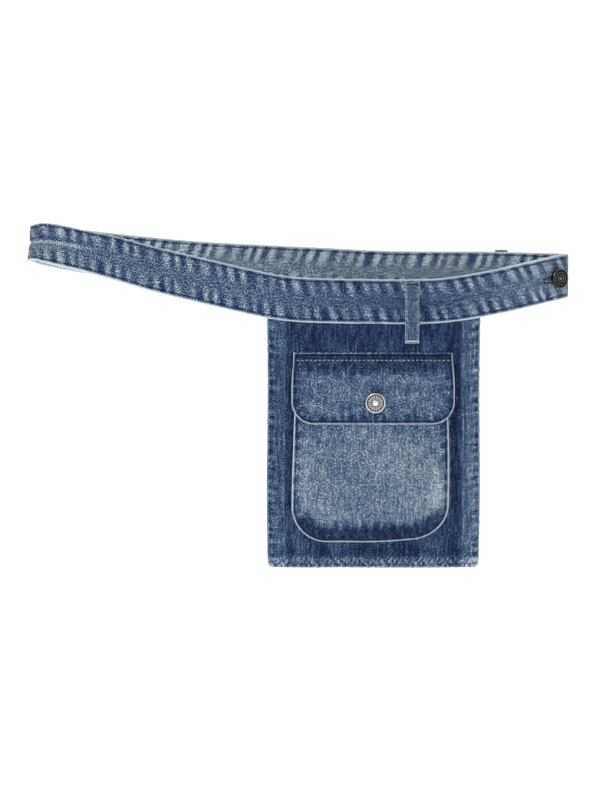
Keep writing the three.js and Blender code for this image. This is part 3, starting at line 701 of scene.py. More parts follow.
@dataclass
class PanelCloth(Cloth):
    """One ply of the pouch's flat panel, with turned side and bottom hems."""

    name: str
    face: Side
    middle: float  # the ply's middle plane, and how far its hidden top is tucked back from it
    tuck: float
    outline: Outline = Outline(0.0, 91.0, -14.0, -228.6, 5.0)
    hem: float = 12.8
    bottom_hem: float = 9.0
    body: float = 0.5

    def columns(self) -> Array:
        """Places across the panel."""
        return mirrored(EDGE_STEPS + (14.2, 17, 20), self.outline.half, 2.3)

    def rows(self) -> Array:
        """Places up the panel."""
        lower = [self.outline.bottom + d for d in EDGE_STEPS + (15,)]
        return np.concatenate([lower, spaced((lower[-1], -40, 2.3), (-40, self.outline.top, 1.7))[1:]])

    def top_edge(self, x: Array) -> Array:
        """The height at which the panel disappears into the waistband."""
        return ROUTE.through(ROUTE.front_heights, x) - 17.6

    def waves(self, x: Array, z: Array) -> Array:
        """The panel's slack, forwards; both plies share it."""
        rim = smooth(66, 88, np.abs(x)) + smooth(-207, -226, z)
        hang = smooth(-40, -110, z)
        slow = np.sin(z / 19 + 1.2 * np.sign(x)) + 0.7 * np.sin(z / 8.3 + 2.0 * np.sign(x))
        corner = smooth(50, 91, np.abs(x)) * smooth(-190, -229, z)
        return hang * (0.55 * rim * slow + 0.5 * np.sin(x / 14.5) * smooth(-207, -226, z) - 1.6 * corner)

    def ripple(self, x: Array, z: Array) -> Array:
        """The ripple beside the hems and under the waistband."""
        o = self.outline
        beside, above = o.half - np.abs(x), z - o.bottom
        seed = np.where(x < 0, 0.8, 3.1)
        side = pucker(z, beside, 7.4, seed, 0.2)
        side = side * np.interp(beside, [0, 2, 5, 8.5, 13], [0.7, 1, 0.8, 0.25, 0])
        low = pucker(x, above, 5.4, 5.2, 0.85)
        low = low * np.interp(above, [0, 2, 7, 10, 15], [0.8, 1, 1, 0.35, 0])
        below = self.top_edge(x) - 1.4 - z
        top = 0.5 * pucker(x, below, 9.6, 2.2, 0.4) + 0.4 * pucker(x, below, 4.3, 0.6, -0.2)
        top = top * np.interp(below, [0, 2, 8, 26], [0.4, 0.9, 0.8, 0])
        share = smooth(3, -3, beside - above)
        return side * share + low * (1 - share) + 0.8 * top * smooth(14, 20, beside)

    def surface(self, across: Array, along: Array, side: Array, gap: Array) -> Array:
        """Where the ply lies."""
        o = self.outline
        beside, above = o.half - np.abs(across), along - o.bottom
        distance, ripple = o.distance(across, along), self.ripple(across, along)
        x, z = o.rounded(across, along)
        by_side = beside < above
        outward = np.where(by_side, np.sign(across), 0.0)
        x = x + 0.35 * ripple * outward * bell(0, 2.0, distance) + 0.5 * np.sin(z / 31 + 0.6) * outward
        z = z - 0.4 * ripple * (outward == 0) * bell(0, 2.2, distance)
        lift = self.top_edge(x) - o.top
        z = z + lift * (1 - smooth(o.top, o.top - 60, z))
        turned = smooth(self.hem + 0.5, self.hem - 0.5, beside)
        turned = np.maximum(turned, smooth(self.bottom_hem + 0.5, self.bottom_hem - 0.5, above))
        groove = bell(0, 0.55, beside - self.hem) + bell(0, 0.55, above - self.bottom_hem)
        hemmed = np.where(side * self.face.value > 0, 0.28 * turned - 0.3 * groove, 0.0)
        tucked = smooth(-32, -22, z - lift)
        half = (rolled_edge(distance, self.body) + hemmed) * (1 - 0.4 * tucked)
        y = self.middle + self.tuck * tucked - side * half - 0.22 * ripple * (1 - tucked)
        return np.stack([x, y - self.waves(x, z), z], 1)

    def colouring(self, across: Array, along: Array, side: Array) -> tuple[Array, Array, Array]:
        """How faded the ply is: dark under the waistband, pale along its hems, with painted shadow beside and
        below the pocket.
        """
        o = self.outline
        x, z = across, along
        beside, above = o.half - np.abs(x), z - o.bottom
        ripple = self.ripple(x, z)
        tone = 0.2 + 0.06 * smooth(-70, -170, z) + 0.06 * np.sin(x / 6.1) * smooth(-20, -40, z)
        hem = smooth(self.hem + 1, self.hem - 1, beside)
        # The last term is a painted contact shadow just outside the pocket's sides, and partly also cloth
        # that is less faded there.
        tone = tone + hem * 0.17 + 0.24 * bell(0, 0.9, beside - self.hem - 1.3) - 0.12 * bell(20, 4, beside)
        low = smooth(self.bottom_hem + 1.5, self.bottom_hem - 1.5, above)
        # The dark line 14 mm above the bottom edge is a painted shadow below the pocket.
        tone = tone + low * 0.2 - 0.1 * bell(14, 4, above)
        corner = smooth(84, 91, np.abs(x)) * smooth(-219, -229, z)
        tone = tone + 0.45 * corner + (0.27 + 0.08 * low) * ripple
        tone = tone - 0.1 * smooth(-46, -27, z) * smooth(16, 24, beside)
        if self.face is Side.BACK:
            tone = tone + 0.22
        return tone, o.distance(x, z), ripple


POCKET_MOUTH_Y = -11.5


@dataclass
class PocketCloth(Cloth):
    """The patch pocket's front, with its hemmed mouth and its welted edge."""

    name: str = "pocket_front_cloth"
    outline: Outline = Outline(-2.2, 67.0, -60.0, -204.6, 31.0)
    mouth_hem: float = 14.0

    def columns(self) -> Array:
        """Places across the pocket."""
        return self.outline.centre + mirrored(EDGE_STEPS + (16, 20), self.outline.half, 2.2)

    def rows(self) -> Array:
        """Places up the pocket."""
        o = self.outline
        lower = [o.bottom + d for d in EDGE_STEPS + (16, 20)]
        upper = [o.top - d for d in EDGE_STEPS[::-1]]
        return np.concatenate([lower, spaced((lower[-1], upper[0], 2.2))[1:], upper[1:]])

    def outlined(self, across: Array, along: Array) -> tuple[Array, Array]:
        """Places with round corners, a belly low down and a slightly higher right side."""
        return self.bellied(*self.outline.rounded(across, along))

    def bellied(self, x: Array, z: Array) -> tuple[Array, Array]:
        """The pocket's sides drawn in towards its mouth, and its bottom raised a little to the right."""
        o = self.outline
        narrow = 1 - 0.052 * (np.maximum(z + 157, 0) / 97) ** 1.6
        off = x - o.centre
        tilt = 0.022 * off + 0.9 * smooth(0, 40, np.abs(off)) + 1.1 * smooth(14, 52, x)
        return o.centre + off * narrow - 0.8 * smooth(-120, -180, z), z + smooth(-150, -204, z) * tilt

    @staticmethod
    def face_y(z: Array) -> Array:
        """The plane that the pocket's face keeps to where the flap lies on it, 7 mm deeper at its bottom."""
        return POCKET_MOUTH_Y - 7.0 * (-60 - z) / 144.5

    def ripple(self, across: Array, along: Array) -> Array:
        """The ripple beside the welt."""
        distance = self.outline.distance(across, along)
        reach = np.interp(distance, [0, 2, 7, 14, 20], [0.6, 1, 0.8, 0.4, 0])
        return pucker(self.outline.run(across, along), distance, 9.4, 6.1, 0.3) * reach

    def surface(self, across: Array, along: Array, side: Array, gap: Array) -> Array:
        """Where the pocket's front lies: full low down, and flat under the flap."""
        o = self.outline
        distance = o.distance(across, along)
        hem = np.minimum(distance, o.top - along)
        ripple = self.ripple(across, along)
        x, z = self.outlined(across, along)
        below = smooth(-104, -138, z)
        inside = np.maximum(distance, 0)
        crown = 2.4 * below * (1 - np.exp(-inside / 13))
        dip = 1.3 * bell(-20, 26, x) * bell(-176, 22, z) - 0.8 * bell(30, 16, x) * bell(-150, 30, z)
        roll = 2.6 * np.exp(-inside / 5.2) * (0.5 + 0.5 * below)
        folded = smooth(self.mouth_hem + 0.5, self.mouth_hem - 0.5, o.top - along)
        half = rolled_edge(hem, 0.56) + np.where(side < 0, 0.8 * folded, 0.0)
        y = self.face_y(z) + 0.65 - crown + dip * below + roll - side * half
        y = y - 0.32 * ripple * (0.3 + 0.7 * below) - 0.35 * below * np.sin(x / 9 + z / 17)
        return np.stack([x, y, z], 1)

    def colouring(self, across: Array, along: Array, side: Array) -> tuple[Array, Array, Array]:
        """How faded the pocket is: pale, with a dark margin low down and rubbed patches at its sides, and
        darker at its top, partly cloth the flap keeps from fading and partly painted shade under and just
        below the flap.
        """
        o = self.outline
        distance = o.distance(across, along)
        ripple = self.ripple(across, along)
        x, z = across, along
        tone = 0.55 + 0.04 * np.sin(x / 17 + z / 23)
        above = z - o.bottom
        ragged = 2.6 * pucker(x, np.zeros_like(x), 8.3, 3.3)
        low = smooth(18 + ragged, 10 + ragged, np.minimum(distance, above)) * smooth(-172, -190, z)
        tone = tone - 0.52 * low
        margin = smooth(11, 5, distance)
        tone = tone - 0.14 * margin * (1 - low) + 0.2 * ripple * margin
        tone = tone + 0.1 * bell(-62, 8, x) * bell(-138, 22, z) + 0.27 * bell(57, 8, x) * bell(-160, 20, z)
        # Darker towards the top, fully from 98 mm down: partly less-faded cloth under the flap, and partly
        # painted shade of the flap, with a painted shadow just below its edge.
        tone = tone - 0.14 * smooth(-122, -98, z)
        tone = np.where(side < 0, 0.55, tone)
        return tone, np.minimum(distance, np.maximum(o.top - along, 0)), ripple


@dataclass
class GussetCloth(Cloth):
    """The strip that joins the pocket's front to the panel round its sides and bottom."""

    pocket: PocketCloth
    name: str = "pocket_gusset_cloth"
    width: float = 12.0
    panel_y: float = -3.25

    def columns(self) -> Array:
        """Places along the strip."""
        return spaced((0, self.pocket.outline.length, 2.0))

    def rows(self) -> Array:
        """Places from the panel to the pocket's front."""
        return spaced((0, self.width, 1.0))

    def folds(self, across: Array, along: Array) -> tuple[Array, Array]:
        """How far the strip bows out, and its folds."""
        arch = np.sin(math.pi * np.clip(along / self.width, 0, 1))
        return arch, pucker(across, along, 13.0, 2.9, 0.3) * arch

    def surface(self, across: Array, along: Array, side: Array, gap: Array) -> Array:
        """Where the strip stands: bowed outwards, with folds that gather at the corners."""
        o = self.pocket.outline
        arch, fold = self.folds(across, along)
        right = smooth(o.length * 0.55, o.length * 0.7, across)
        inset = 2.0 - arch * (0.9 + 2.3 * right) - 0.55 * fold - side * 0.5
        x, z = self.pocket.bellied(*o.point(across, inset))
        reach = self.pocket.face_y(z) + 2.2 - self.panel_y
        y = self.panel_y + reach * along / self.width
        return np.stack([x, y, z], 1)

    def colouring(self, across: Array, along: Array, side: Array) -> tuple[Array, Array, Array]:
        """How faded the strip is."""
        arch, fold = self.folds(across, along)
        return 0.26 + 0.14 * fold + 0.1 * arch, np.full_like(across, 9.0), fold


@dataclass
class FlapCloth(Cloth):
    """The pocket's flap and the strip above its hinge line, outer ply and lining together."""

    name: str = "flap_cloth"
    outline: Outline = Outline(-0.6, 69.4, -43.5, -103.7, 19.0)
    hinge: float = -49.8
    shelf: float = 13.0
    strip_y: float = -4.25
    body: float = 1.12
    slit: Optional[Slit] = Slit(1.2, -88.5, -72.6, True)
    eye: float = 3.0  # from the slit's end to the wider place where the button's shank sits

    def columns(self) -> Array:
        """Places across the flap."""
        o = self.outline
        left = [o.centre - o.half + d for d in EDGE_STEPS]
        right = [o.centre + o.half - d for d in EDGE_STEPS[::-1]]
        line = self.slit.line
        near = line - 6, line + 6
        middle = spaced(
            (left[-1], near[0], 2.2), (near[0], line, 1.0), (line, near[1], 1.0), (near[1], right[0], 2.2)
        )
        return np.concatenate([left, middle[1:], right[1:]])

    def rows(self) -> Array:
        """Places up the flap."""
        o = self.outline
        lower = [o.bottom + d for d in EDGE_STEPS]
        upper = [o.top - d for d in (0, 0.12, 0.45, 1.0, 1.7, 2.6, 3.6)][::-1]
        start, end = self.slit.start, self.slit.end
        middle = spaced(
            (lower[-1], start, 1.4), (start, end, 0.9), (end, -62, 1.6), (-62, -52.5, 1.1),
            (-52.5, upper[0], 0.62),
        )
        return np.concatenate([lower, middle[1:], upper[1:]])

    def ripple(self, across: Array, along: Array) -> Array:
        """The ripple beside the flap's edge and along its top."""
        o = self.outline
        distance = o.distance(across, along)
        edge = pucker(o.run(across, along), distance, 9.0, 1.1, 0.2) * smooth(-56, -66, along)
        edge = edge * np.interp(distance, [0, 2, 6, 11, 15], [0.5, 1, 0.8, 0.4, 0])
        top = pucker(across, np.zeros_like(across), 5.4, 4.9) * smooth(-48.6, -44.5, along)
        hang = pucker(across, np.zeros_like(across), 7.6, 2.7) * bell(-55, 4, along)
        return edge + top + 0.8 * hang

    def middle_y(self, z: Array) -> Array:
        """The flap's middle surface: flat on the panel, out over the pocket's mouth, then down its face."""
        share = np.clip((self.hinge + 0.6 - z) / self.shelf, 0, 1)
        rest = np.minimum(PocketCloth.face_y(z), POCKET_MOUTH_Y) - 1.75
        return self.strip_y + (rest - self.strip_y) * np.sin(share * math.pi / 2)

    def surface(self, across: Array, along: Array, side: Array, gap: Array) -> Array:
        """Where the flap lies."""
        o = self.outline
        distance = np.minimum(o.distance(across, along), np.maximum(o.top - along, 0))
        ripple = self.ripple(across, along)
        slit = self.slit
        share = np.clip((along - slit.start) / (slit.end - slit.start), 0, 1)
        opening = 0.75 * np.sin(math.pi * share) ** 0.5 + 2.7 * bell(slit.start + self.eye, 2.9, along)
        opening = opening * ((along > slit.start) & (along < slit.end))
        lip = np.where(gap != 0, gap, np.sign(across - slit.line))
        shifted = across + lip * opening * np.exp(-np.abs(across - slit.line) / 5.0)
        x, z = o.rounded(shifted, along)
        x = o.centre + (x - o.centre) * (1 - 0.022 * smooth(-72, -46, z))
        z = z + 0.4 * ripple * smooth(-45.4, -43.5, along)
        strip = smooth(self.hinge - 0.2, self.hinge + 0.6, along)
        half = rolled_edge(distance, self.body) * (1 - 0.34 * bell(self.hinge, 0.7, along))
        lower = smooth(-58, -74, z)
        puff = 0.75 * lower * (1 - np.exp(-np.maximum(o.distance(across, along), 0) / 10))
        curl = 2.4 * smooth(9, 0, o.half - np.abs(across - o.centre)) * smooth(-52, -62, z)
        curl = curl + 0.9 * smooth(7, 0, along - o.bottom)
        y = self.middle_y(z) - puff + curl - side * half - 0.26 * ripple * (1 - strip)
        y = y - 0.4 * lower * np.sin(x / 12.5 + 0.9) * np.sin(z / 21)
        return np.stack([x, y, z], 1)

    def colouring(self, across: Array, along: Array, side: Array) -> tuple[Array, Array, Array]:
        """How faded the flap is: dark over the mouth, worn pale below it, dark again beside its edge."""
        o = self.outline
        distance = o.distance(across, along)
        ripple = self.ripple(across, along)
        ragged = 2.4 * pucker(across, np.zeros_like(across), 8.7, 0.9)
        worn = smooth(-53.5 + ragged, -66 + ragged, along)
        tone = 0.14 + 0.29 * worn + 0.12 * ripple * bell(-56, 6, along)
        strip = smooth(self.hinge - 0.3, self.hinge + 0.3, along)
        tone = tone * (1 - strip) + strip * (0.05 + 0.34 * smooth(-45.2, -43.9, along) + 0.26 * ripple)
        margin = smooth(10.5, 5.5, distance) * worn
        tone = tone - 0.16 * margin + 0.2 * ripple * margin
        tone = np.where(side < 0, 0.5, tone)
        return tone, np.minimum(distance + 0.15, np.maximum(o.top - along, 0) + 0.95), ripple


@dataclass
class LoopCloth(Cloth):
    """A belt loop: a folded strip sewn down at both ends, standing a little off the cloth behind it."""

    name: str
    origin: tuple[float, float, float]
    outwards: tuple[float, float, float]
    upwards: tuple[float, float, float]
    top: float
    bottom: float
    half_width: float = 5.9
    body: float = 0.92
    steps: tuple = (0, 0.12, 0.45, 1.0, 1.5, 1.9, 2.4, 3.2)

    def columns(self) -> Array:
        """Places across the loop."""
        return mirrored(self.steps, self.half_width, 0.9)

    def rows(self) -> Array:
        """Places up the loop."""
        fine = (0, 0.12, 0.45, 0.9, 1.5)
        low, high = [self.bottom + d for d in fine], [self.top - d for d in fine[::-1]]
        return np.concatenate([low, spaced((low[-1], high[0], 0.9))[1:], high[1:]])

    def ripple(self, across: Array, along: Array) -> Array:
        """The ripple beside the loop's seams."""
        distance = self.half_width - np.abs(across)
        reach = np.interp(distance, [0, 1.5, 3.5, 5.9], [0.8, 1, 0.5, 0.1])
        return pucker(along, distance, 5.0, 1.9, 0.5) * reach

    def surface(self, across: Array, along: Array, side: Array, gap: Array) -> Array:
        """Where the loop lies."""
        ends = np.minimum(self.top - along, along - self.bottom)
        distance = np.minimum(self.half_width - np.abs(across), ends)
        ripple = self.ripple(across, along)
        profile = np.interp(distance, self.steps, [0.15, 0.6, 0.95, 1.08, 1, 0.8, 0.98, 1])
        half = profile * self.body * (1 + 0.3 * smooth(7.5, 5.5, ends)) * (1 - 0.25 * bell(1.9, 0.7, ends))
        stand = 1.6 + 2.3 * smooth(5.0, 11.0, ends)
        depth = stand + side * half + 0.14 * ripple
        out, up = np.array(self.outwards, float), np.array(self.upwards, float)
        x = across + 0.15 * ripple * np.sign(across) * bell(0, 1, distance)
        return self.origin + x[:, None] * np.cross(up, out) + along[:, None] * up + depth[:, None] * out

    def colouring(self, across: Array, along: Array, side: Array) -> tuple[Array, Array, Array]:
        """How faded the loop is: rubbed pale along its folds."""
        distance = self.half_width - np.abs(across)
        ends = np.minimum(self.top - along, along - self.bottom)
        ripple = self.ripple(across, along)
        tone = 0.38 + 0.16 * ripple + 0.2 * smooth(1.4, 0.5, distance) - 0.2 * bell(1.9, 0.45, distance)
        tone = tone + 0.2 * smooth(3.0, 0.8, ends)
        return tone, np.minimum(distance * 1.6, ends + 0.3) + 0.45, ripple

    def run(self, across: Array, along: Array) -> Array:
        """Place along the loop's seams."""
        return along


# ------------------------------------------------------------ sewing thread
@dataclass
class StitchRun:
    """Stitches between pairs of pattern places on one side of a piece of cloth."""

    cloth: Cloth
    start: tuple[Array, Array]
    end: tuple[Array, Array]
    side: Side = Side.FACE

    def on_cloth(self, across: Array, along: Array, side: float) -> Array:
        """Where pattern places lie on one face of the cloth."""
        none = np.zeros_like(across)
        return self.cloth.surface(across, along, np.full_like(across, side), none)

    def ends(self) -> tuple[Array, Array, Array]:
        """Both ends of every stitch, and the direction out of the cloth at its middle."""
        (a0, l0), (a1, l1), side = self.start, self.end, float(self.side.value)
        middle = ((a0 + a1) / 2, (l0 + l1) / 2)
        out = self.on_cloth(*middle, side) - self.on_cloth(*middle, -side)
        out /= np.linalg.norm(out, axis=1, keepdims=True)
        return self.on_cloth(a0, l0, side), self.on_cloth(a1, l1, side), out


def running_stitches(
    cloth: Cloth, place: Callable[[Array], tuple[Array, Array]], start: float, end: float,
    side: Side = Side.FACE, pitch: float = STITCH_PITCH, fill: float = 0.74,
) -> StitchRun:
    """A row of lockstitches.

    Args:
        cloth: The cloth that is sewn.
        place: Turns a length along the seam into a pattern place.
        start: The length at which the row begins.
        end: The length at which it ends.
        side: Which face of the cloth shows these threads.
        pitch: The length from one stitch to the next.
        fill: The share of the pitch that thread covers.

    Returns:
        The row.
    """
    count = max(1, int((end - start) / pitch))
    first = start + (np.arange(count) + (1 - fill) / 2) * (end - start) / count
    return StitchRun(cloth, place(first), place(first + fill * (end - start) / count), side)


def whipped_stitches(cloth: Cloth, side: Side) -> StitchRun:
    """The close stitches round a piece's slit, square to both lips and fanned round its ends.

    Args:
        cloth: The cloth with the slit.
        side: Which face of the cloth shows these threads.

    Returns:
        The row.
    """
    spacing, near, reach, fan_count = 0.62, 0.75, 2.1, 9
    slit = cloth.slit
    count = int((slit.end - slit.start) / spacing)
    beside = np.tile(slit.start + (np.arange(count) + 0.5) * (slit.end - slit.start) / count, 2)
    lip = np.repeat([-1.0, 1.0], count)
    fan = np.linspace(-math.pi / 2, math.pi / 2, fan_count)

    def ring(away: float) -> tuple[Array, Array]:
        """The places at a distance from the slit."""
        round_end = slit.line + away * np.sin(fan)
        fixed = np.concatenate([slit.line + lip * away, round_end, round_end])
        free = np.concatenate([beside, slit.start - away * np.cos(fan), slit.end + away * np.cos(fan)])
        return (fixed, free) if slit.upright else (free, fixed)

    return StitchRun(cloth, ring(near), ring(near + reach), side)


@dataclass
class Thread:
    """Sewing thread: one modelled stitch, copied along runs."""

    width: float = 0.62
    height: float = 0.5
    sunk: float = 0.17
    taper: float = 0.35
    overlong: float = 1.06

    def template(self) -> tuple[Array, list]:
        """One stitch, lying along X with a length and a width of 1, and its faces."""
        deselect()
        bpy.ops.mesh.primitive_uv_sphere_add(segments=6, ring_count=4, radius=0.5)
        stitch = bpy.context.object
        bpy.ops.object.mode_set(mode="EDIT")
        bpy.ops.mesh.select_all(action="SELECT")
        bpy.ops.transform.rotate(value=math.pi / 2, orient_axis="Y", center_override=(0, 0, 0))
        bpy.ops.object.mode_set(mode="OBJECT")
        places = places_of(stitch)
        places[:, 1:] *= 1 - self.taper * np.abs(places[:, :1] * 2) ** 2
        faces = [tuple(face.vertices) for face in stitch.data.polygons]
        bpy.data.objects.remove(stitch)
        return places, faces

    def sew(self, name: str, runs: Sequence[StitchRun]) -> bpy.types.Object:
        """Makes one piece from all of the runs' stitches.

        Args:
            name: The piece's name.
            runs: The runs of stitches in it.

        Returns:
            The piece.
        """
        places, faces = self.template()
        starts, ends, outs = (np.concatenate(part) for part in zip(*(run.ends() for run in runs)))
        ahead = ends - starts
        length = np.linalg.norm(ahead, axis=1, keepdims=True)
        ahead = ahead / length
        beside = np.cross(outs, ahead)
        beside /= np.linalg.norm(beside, axis=1, keepdims=True)
        lift = np.cross(ahead, beside)
        middle = (starts + ends) / 2 + lift * (self.height / 2 - self.sunk)
        vertices = (
            middle[:, None, :]
            + places[None, :, 0:1] * (length * self.overlong)[:, None, :] * ahead[:, None, :]
            + places[None, :, 1:2] * self.width * beside[:, None, :]
            + places[None, :, 2:3] * self.height * lift[:, None, :]
        ).reshape(-1, 3)
        firsts = range(0, len(vertices), len(places))
        mesh = bpy.data.meshes.new(name)
        copies = [tuple(v + first for v in face) for first in firsts for face in faces]
        mesh.from_pydata(vertices * MM, [], copies)
        piece = bpy.data.objects.new(name, mesh)
        bpy.context.collection.objects.link(piece)
        face_outwards(piece)
        return piece


WHIPPING = Thread(width=0.6, height=0.55)


# ------------------------------------------------------------ buttons
@dataclass
class ButtonCap:
    """A tack button's cap, turned as a stack of rings and struck with a rayed face.

    Its profile is a list of radii and heights over the cloth. Places more than hollow[0] below its crest are
    tarnished, by hollow[1] for each millimetre. The crests keep the finish's bright colour, which is painted
    highlight on the black cap and partly painted highlight on the pewter one.
    """

    name: str
    node: str
    joint: str
    base: float
    profile: tuple[tuple[float, float], ...]
    rays: int
    ray_depth: float
    rayed: tuple[float, float]
    hollow: tuple[float, float]
    segments: int = 64
    face_rise: float = 2.4  # from the base to where the struck face begins

    def turned(self) -> bpy.types.Object:
        """The plain cap, standing on the origin."""
        deselect()
        radius, height = self.profile[0]
        bpy.ops.mesh.primitive_circle_add(
            vertices=self.segments, radius=radius, fill_type="NGON", location=(0, 0, height)
        )
        cap = bpy.context.object
        cap.name = cap.data.name = self.name
        bpy.ops.object.transform_apply(location=True, rotation=True, scale=True)
        bpy.ops.object.mode_set(mode="EDIT")
        bpy.ops.mesh.select_all(action="SELECT")
        for next_radius, next_height in self.profile[1:]:
            bpy.ops.mesh.extrude_region_move(TRANSFORM_OT_translate={"value": (0, 0, next_height - height)})
            ratio = next_radius / radius
            bpy.ops.transform.resize(value=(ratio, ratio, 1), center_override=(0, 0, next_height))
            radius, height = next_radius, next_height
        bpy.ops.object.mode_set(mode="OBJECT")
        return cap

    def build(self) -> bpy.types.Object:
        """Makes the cap, struck and standing on its shank."""
        cap = self.turned()
        places = places_of(cap)
        reach = np.hypot(places[:, 0], places[:, 1])
        turn = np.arctan2(places[:, 1], places[:, 0])
        top = places[:, 2] > self.base + self.face_rise
        inner, outer = self.rayed
        band = smooth(inner - 0.2, inner + 0.5, reach) * smooth(outer + 0.2, outer - 0.5, reach)
        struck = self.ray_depth * np.cos(self.rays * turn) * band * top
        # Hollows take the dull colour as tarnish; the crests and struck rays keep the bright colour, a
        # painted highlight on the black cap and partly one on the pewter cap.
        crest_reach, rate = self.hollow
        depth = max(height for _, height in self.profile) - crest_reach - places[:, 2]
        write_attribute(cap, "tarnish_and_highlight", np.clip(depth * rate - struck * 5.0, 0, 1) * top)
        places[:, 2] += struck
        joint = next(j for j in frame["joints"] if j["name"] == self.joint)
        place, axis = Vector(joint["pos_m"]) / MM, Vector(joint["axis"])
        outwards = axis if axis.y < 0 else -axis
        stood = outwards.to_track_quat("Z", "Y").to_matrix()
        set_places(cap, places @ np.array(stood).T + np.array(place))
        face_outwards(cap)
        activate(cap)
        bpy.ops.object.shade_smooth_by_angle(angle=math.radians(50))
        deselect()
        return cap


# ------------------------------------------------------------ finishes
class Nodes:
    """A material's or a node group's tree, with short ways to add and join its nodes."""

    def __init__(self, tree: bpy.types.NodeTree) -> None:
        """Takes an empty tree."""
        self.tree = tree

    def add(self, kind: str, **settings) -> bpy.types.Node:
        """Adds a node and sets its properties."""
        node = self.tree.nodes.new(kind)
        for key, value in settings.items():
            setattr(node, key, value)
        return node

    def set(self, socket: bpy.types.NodeSocket, value) -> None:
        """Joins an output to an input, or sets the input's own value."""
        if isinstance(value, bpy.types.NodeSocket):
            self.tree.links.new(value, socket)
        else:
            socket.default_value = value

    def math(self, operation: str, *values) -> bpy.types.NodeSocket:
        """The result of a Math node."""
        node = self.add("ShaderNodeMath", operation=operation)
        for socket, value in zip(node.inputs, values):
            self.set(socket, value)
        return node.outputs[0]

    def mix_in(self, value, share, base) -> bpy.types.NodeSocket:
        """A base with a share of a value added to it."""
        return self.math("MULTIPLY_ADD", value, share, base)

    def wave(self, value, pitch: float) -> bpy.types.NodeSocket:
        """A sine of a length, from -1 to 1."""
        return self.math("SINE", self.math("MULTIPLY", value, 2 * math.pi / pitch))

    def ramp(self, value, low: float, high: float, to_low: float = 0.0, to_high: float = 1.0):
        """A smooth step of a value."""
        node = self.add("ShaderNodeMapRange", interpolation_type="SMOOTHSTEP")
        for socket, setting in zip(node.inputs, (value, low, high, to_low, to_high)):
            self.set(socket, setting)
        return node.outputs[0]

    def noise(self, vector, scale, detail: float, roughness: float) -> bpy.types.NodeSocket:
        """Noise from -1 to 1."""
        node = self.add("ShaderNodeTexNoise")
        settings = {"Vector": vector, "Scale": scale, "Detail": detail, "Roughness": roughness}
        for key, value in settings.items():
            self.set(node.inputs[key], value)
        return self.mix_in(node.outputs["Fac"], 2.0, -1.0)

    def bumped(self, height, strength: float, distance: float) -> bpy.types.NodeSocket:
        """A normal from a height."""
        bump = self.add("ShaderNodeBump")
        bump.inputs["Strength"].default_value = strength
        bump.inputs["Distance"].default_value = distance
        self.set(bump.inputs["Height"], height)
        return bump.outputs["Normal"]

    def vector(self, x, y, z=0.0) -> bpy.types.NodeSocket:
        """A vector from three numbers."""
        node = self.add("ShaderNodeCombineXYZ")
        for socket, value in zip(node.inputs, (x, y, z)):
            self.set(socket, value)
        return node.outputs[0]


def linear(colour: Sequence[float]) -> tuple[float, float, float, float]:
    """A display colour from 0 to 255 as linear light."""
    shares = [c / 255 for c in colour]
    return (*[s / 12.92 if s <= 0.04045 else ((s + 0.055) / 1.055) ** 2.4 for s in shares], 1.0)


def new_group(name: str, inputs: dict, outputs: dict) -> tuple[bpy.types.NodeTree, Nodes]:
    """An empty node group with named sockets.

    Args:
        name: The group's name.
        inputs: Its inputs and each one's starting value.
        outputs: Its outputs and each one's socket type.

    Returns:
        The group and its nodes.
    """
    group = bpy.data.node_groups.new(name, "ShaderNodeTree")
    for key, value in inputs.items():
        kind = "NodeSocketFloat" if isinstance(value, float) else "NodeSocketVector"
        socket = group.interface.new_socket(key, in_out="INPUT", socket_type=kind)
        socket.default_value = value
    for key, kind in outputs.items():
        group.interface.new_socket(key, in_out="OUTPUT", socket_type=kind)
    return group, Nodes(group)


# Colours for the tone from dark to pale; the tone holds wear and, on some pieces, painted light and shade.
TONE_COLOURS = (
    (0.0, (3, 12, 36)), (0.2, (16, 43, 92)), (0.45, (63, 90, 121)), (0.7, (108, 124, 136)),
    (0.88, (152, 165, 174)), (1.0, (200, 208, 214)),
)
GRAIN_SCALE, BLOTCH_SCALE = 0.86, 0.13  # for each millimetre
TWILL_PITCH, TWILL_SLOPE = 1.65, 0.8
NEEDLE_LINE, NEEDLE_REACH = 2.9, 1.05  # distance of the needle holes from the edge, and how far they show
ROPE_PITCH, ROPE_SLANT = 2.1, 0.9
RUB_END, RUB_FULL, RUBBED_FADE = 1.6, 0.45, 1.02  # distances from the edge, and how pale it is rubbed


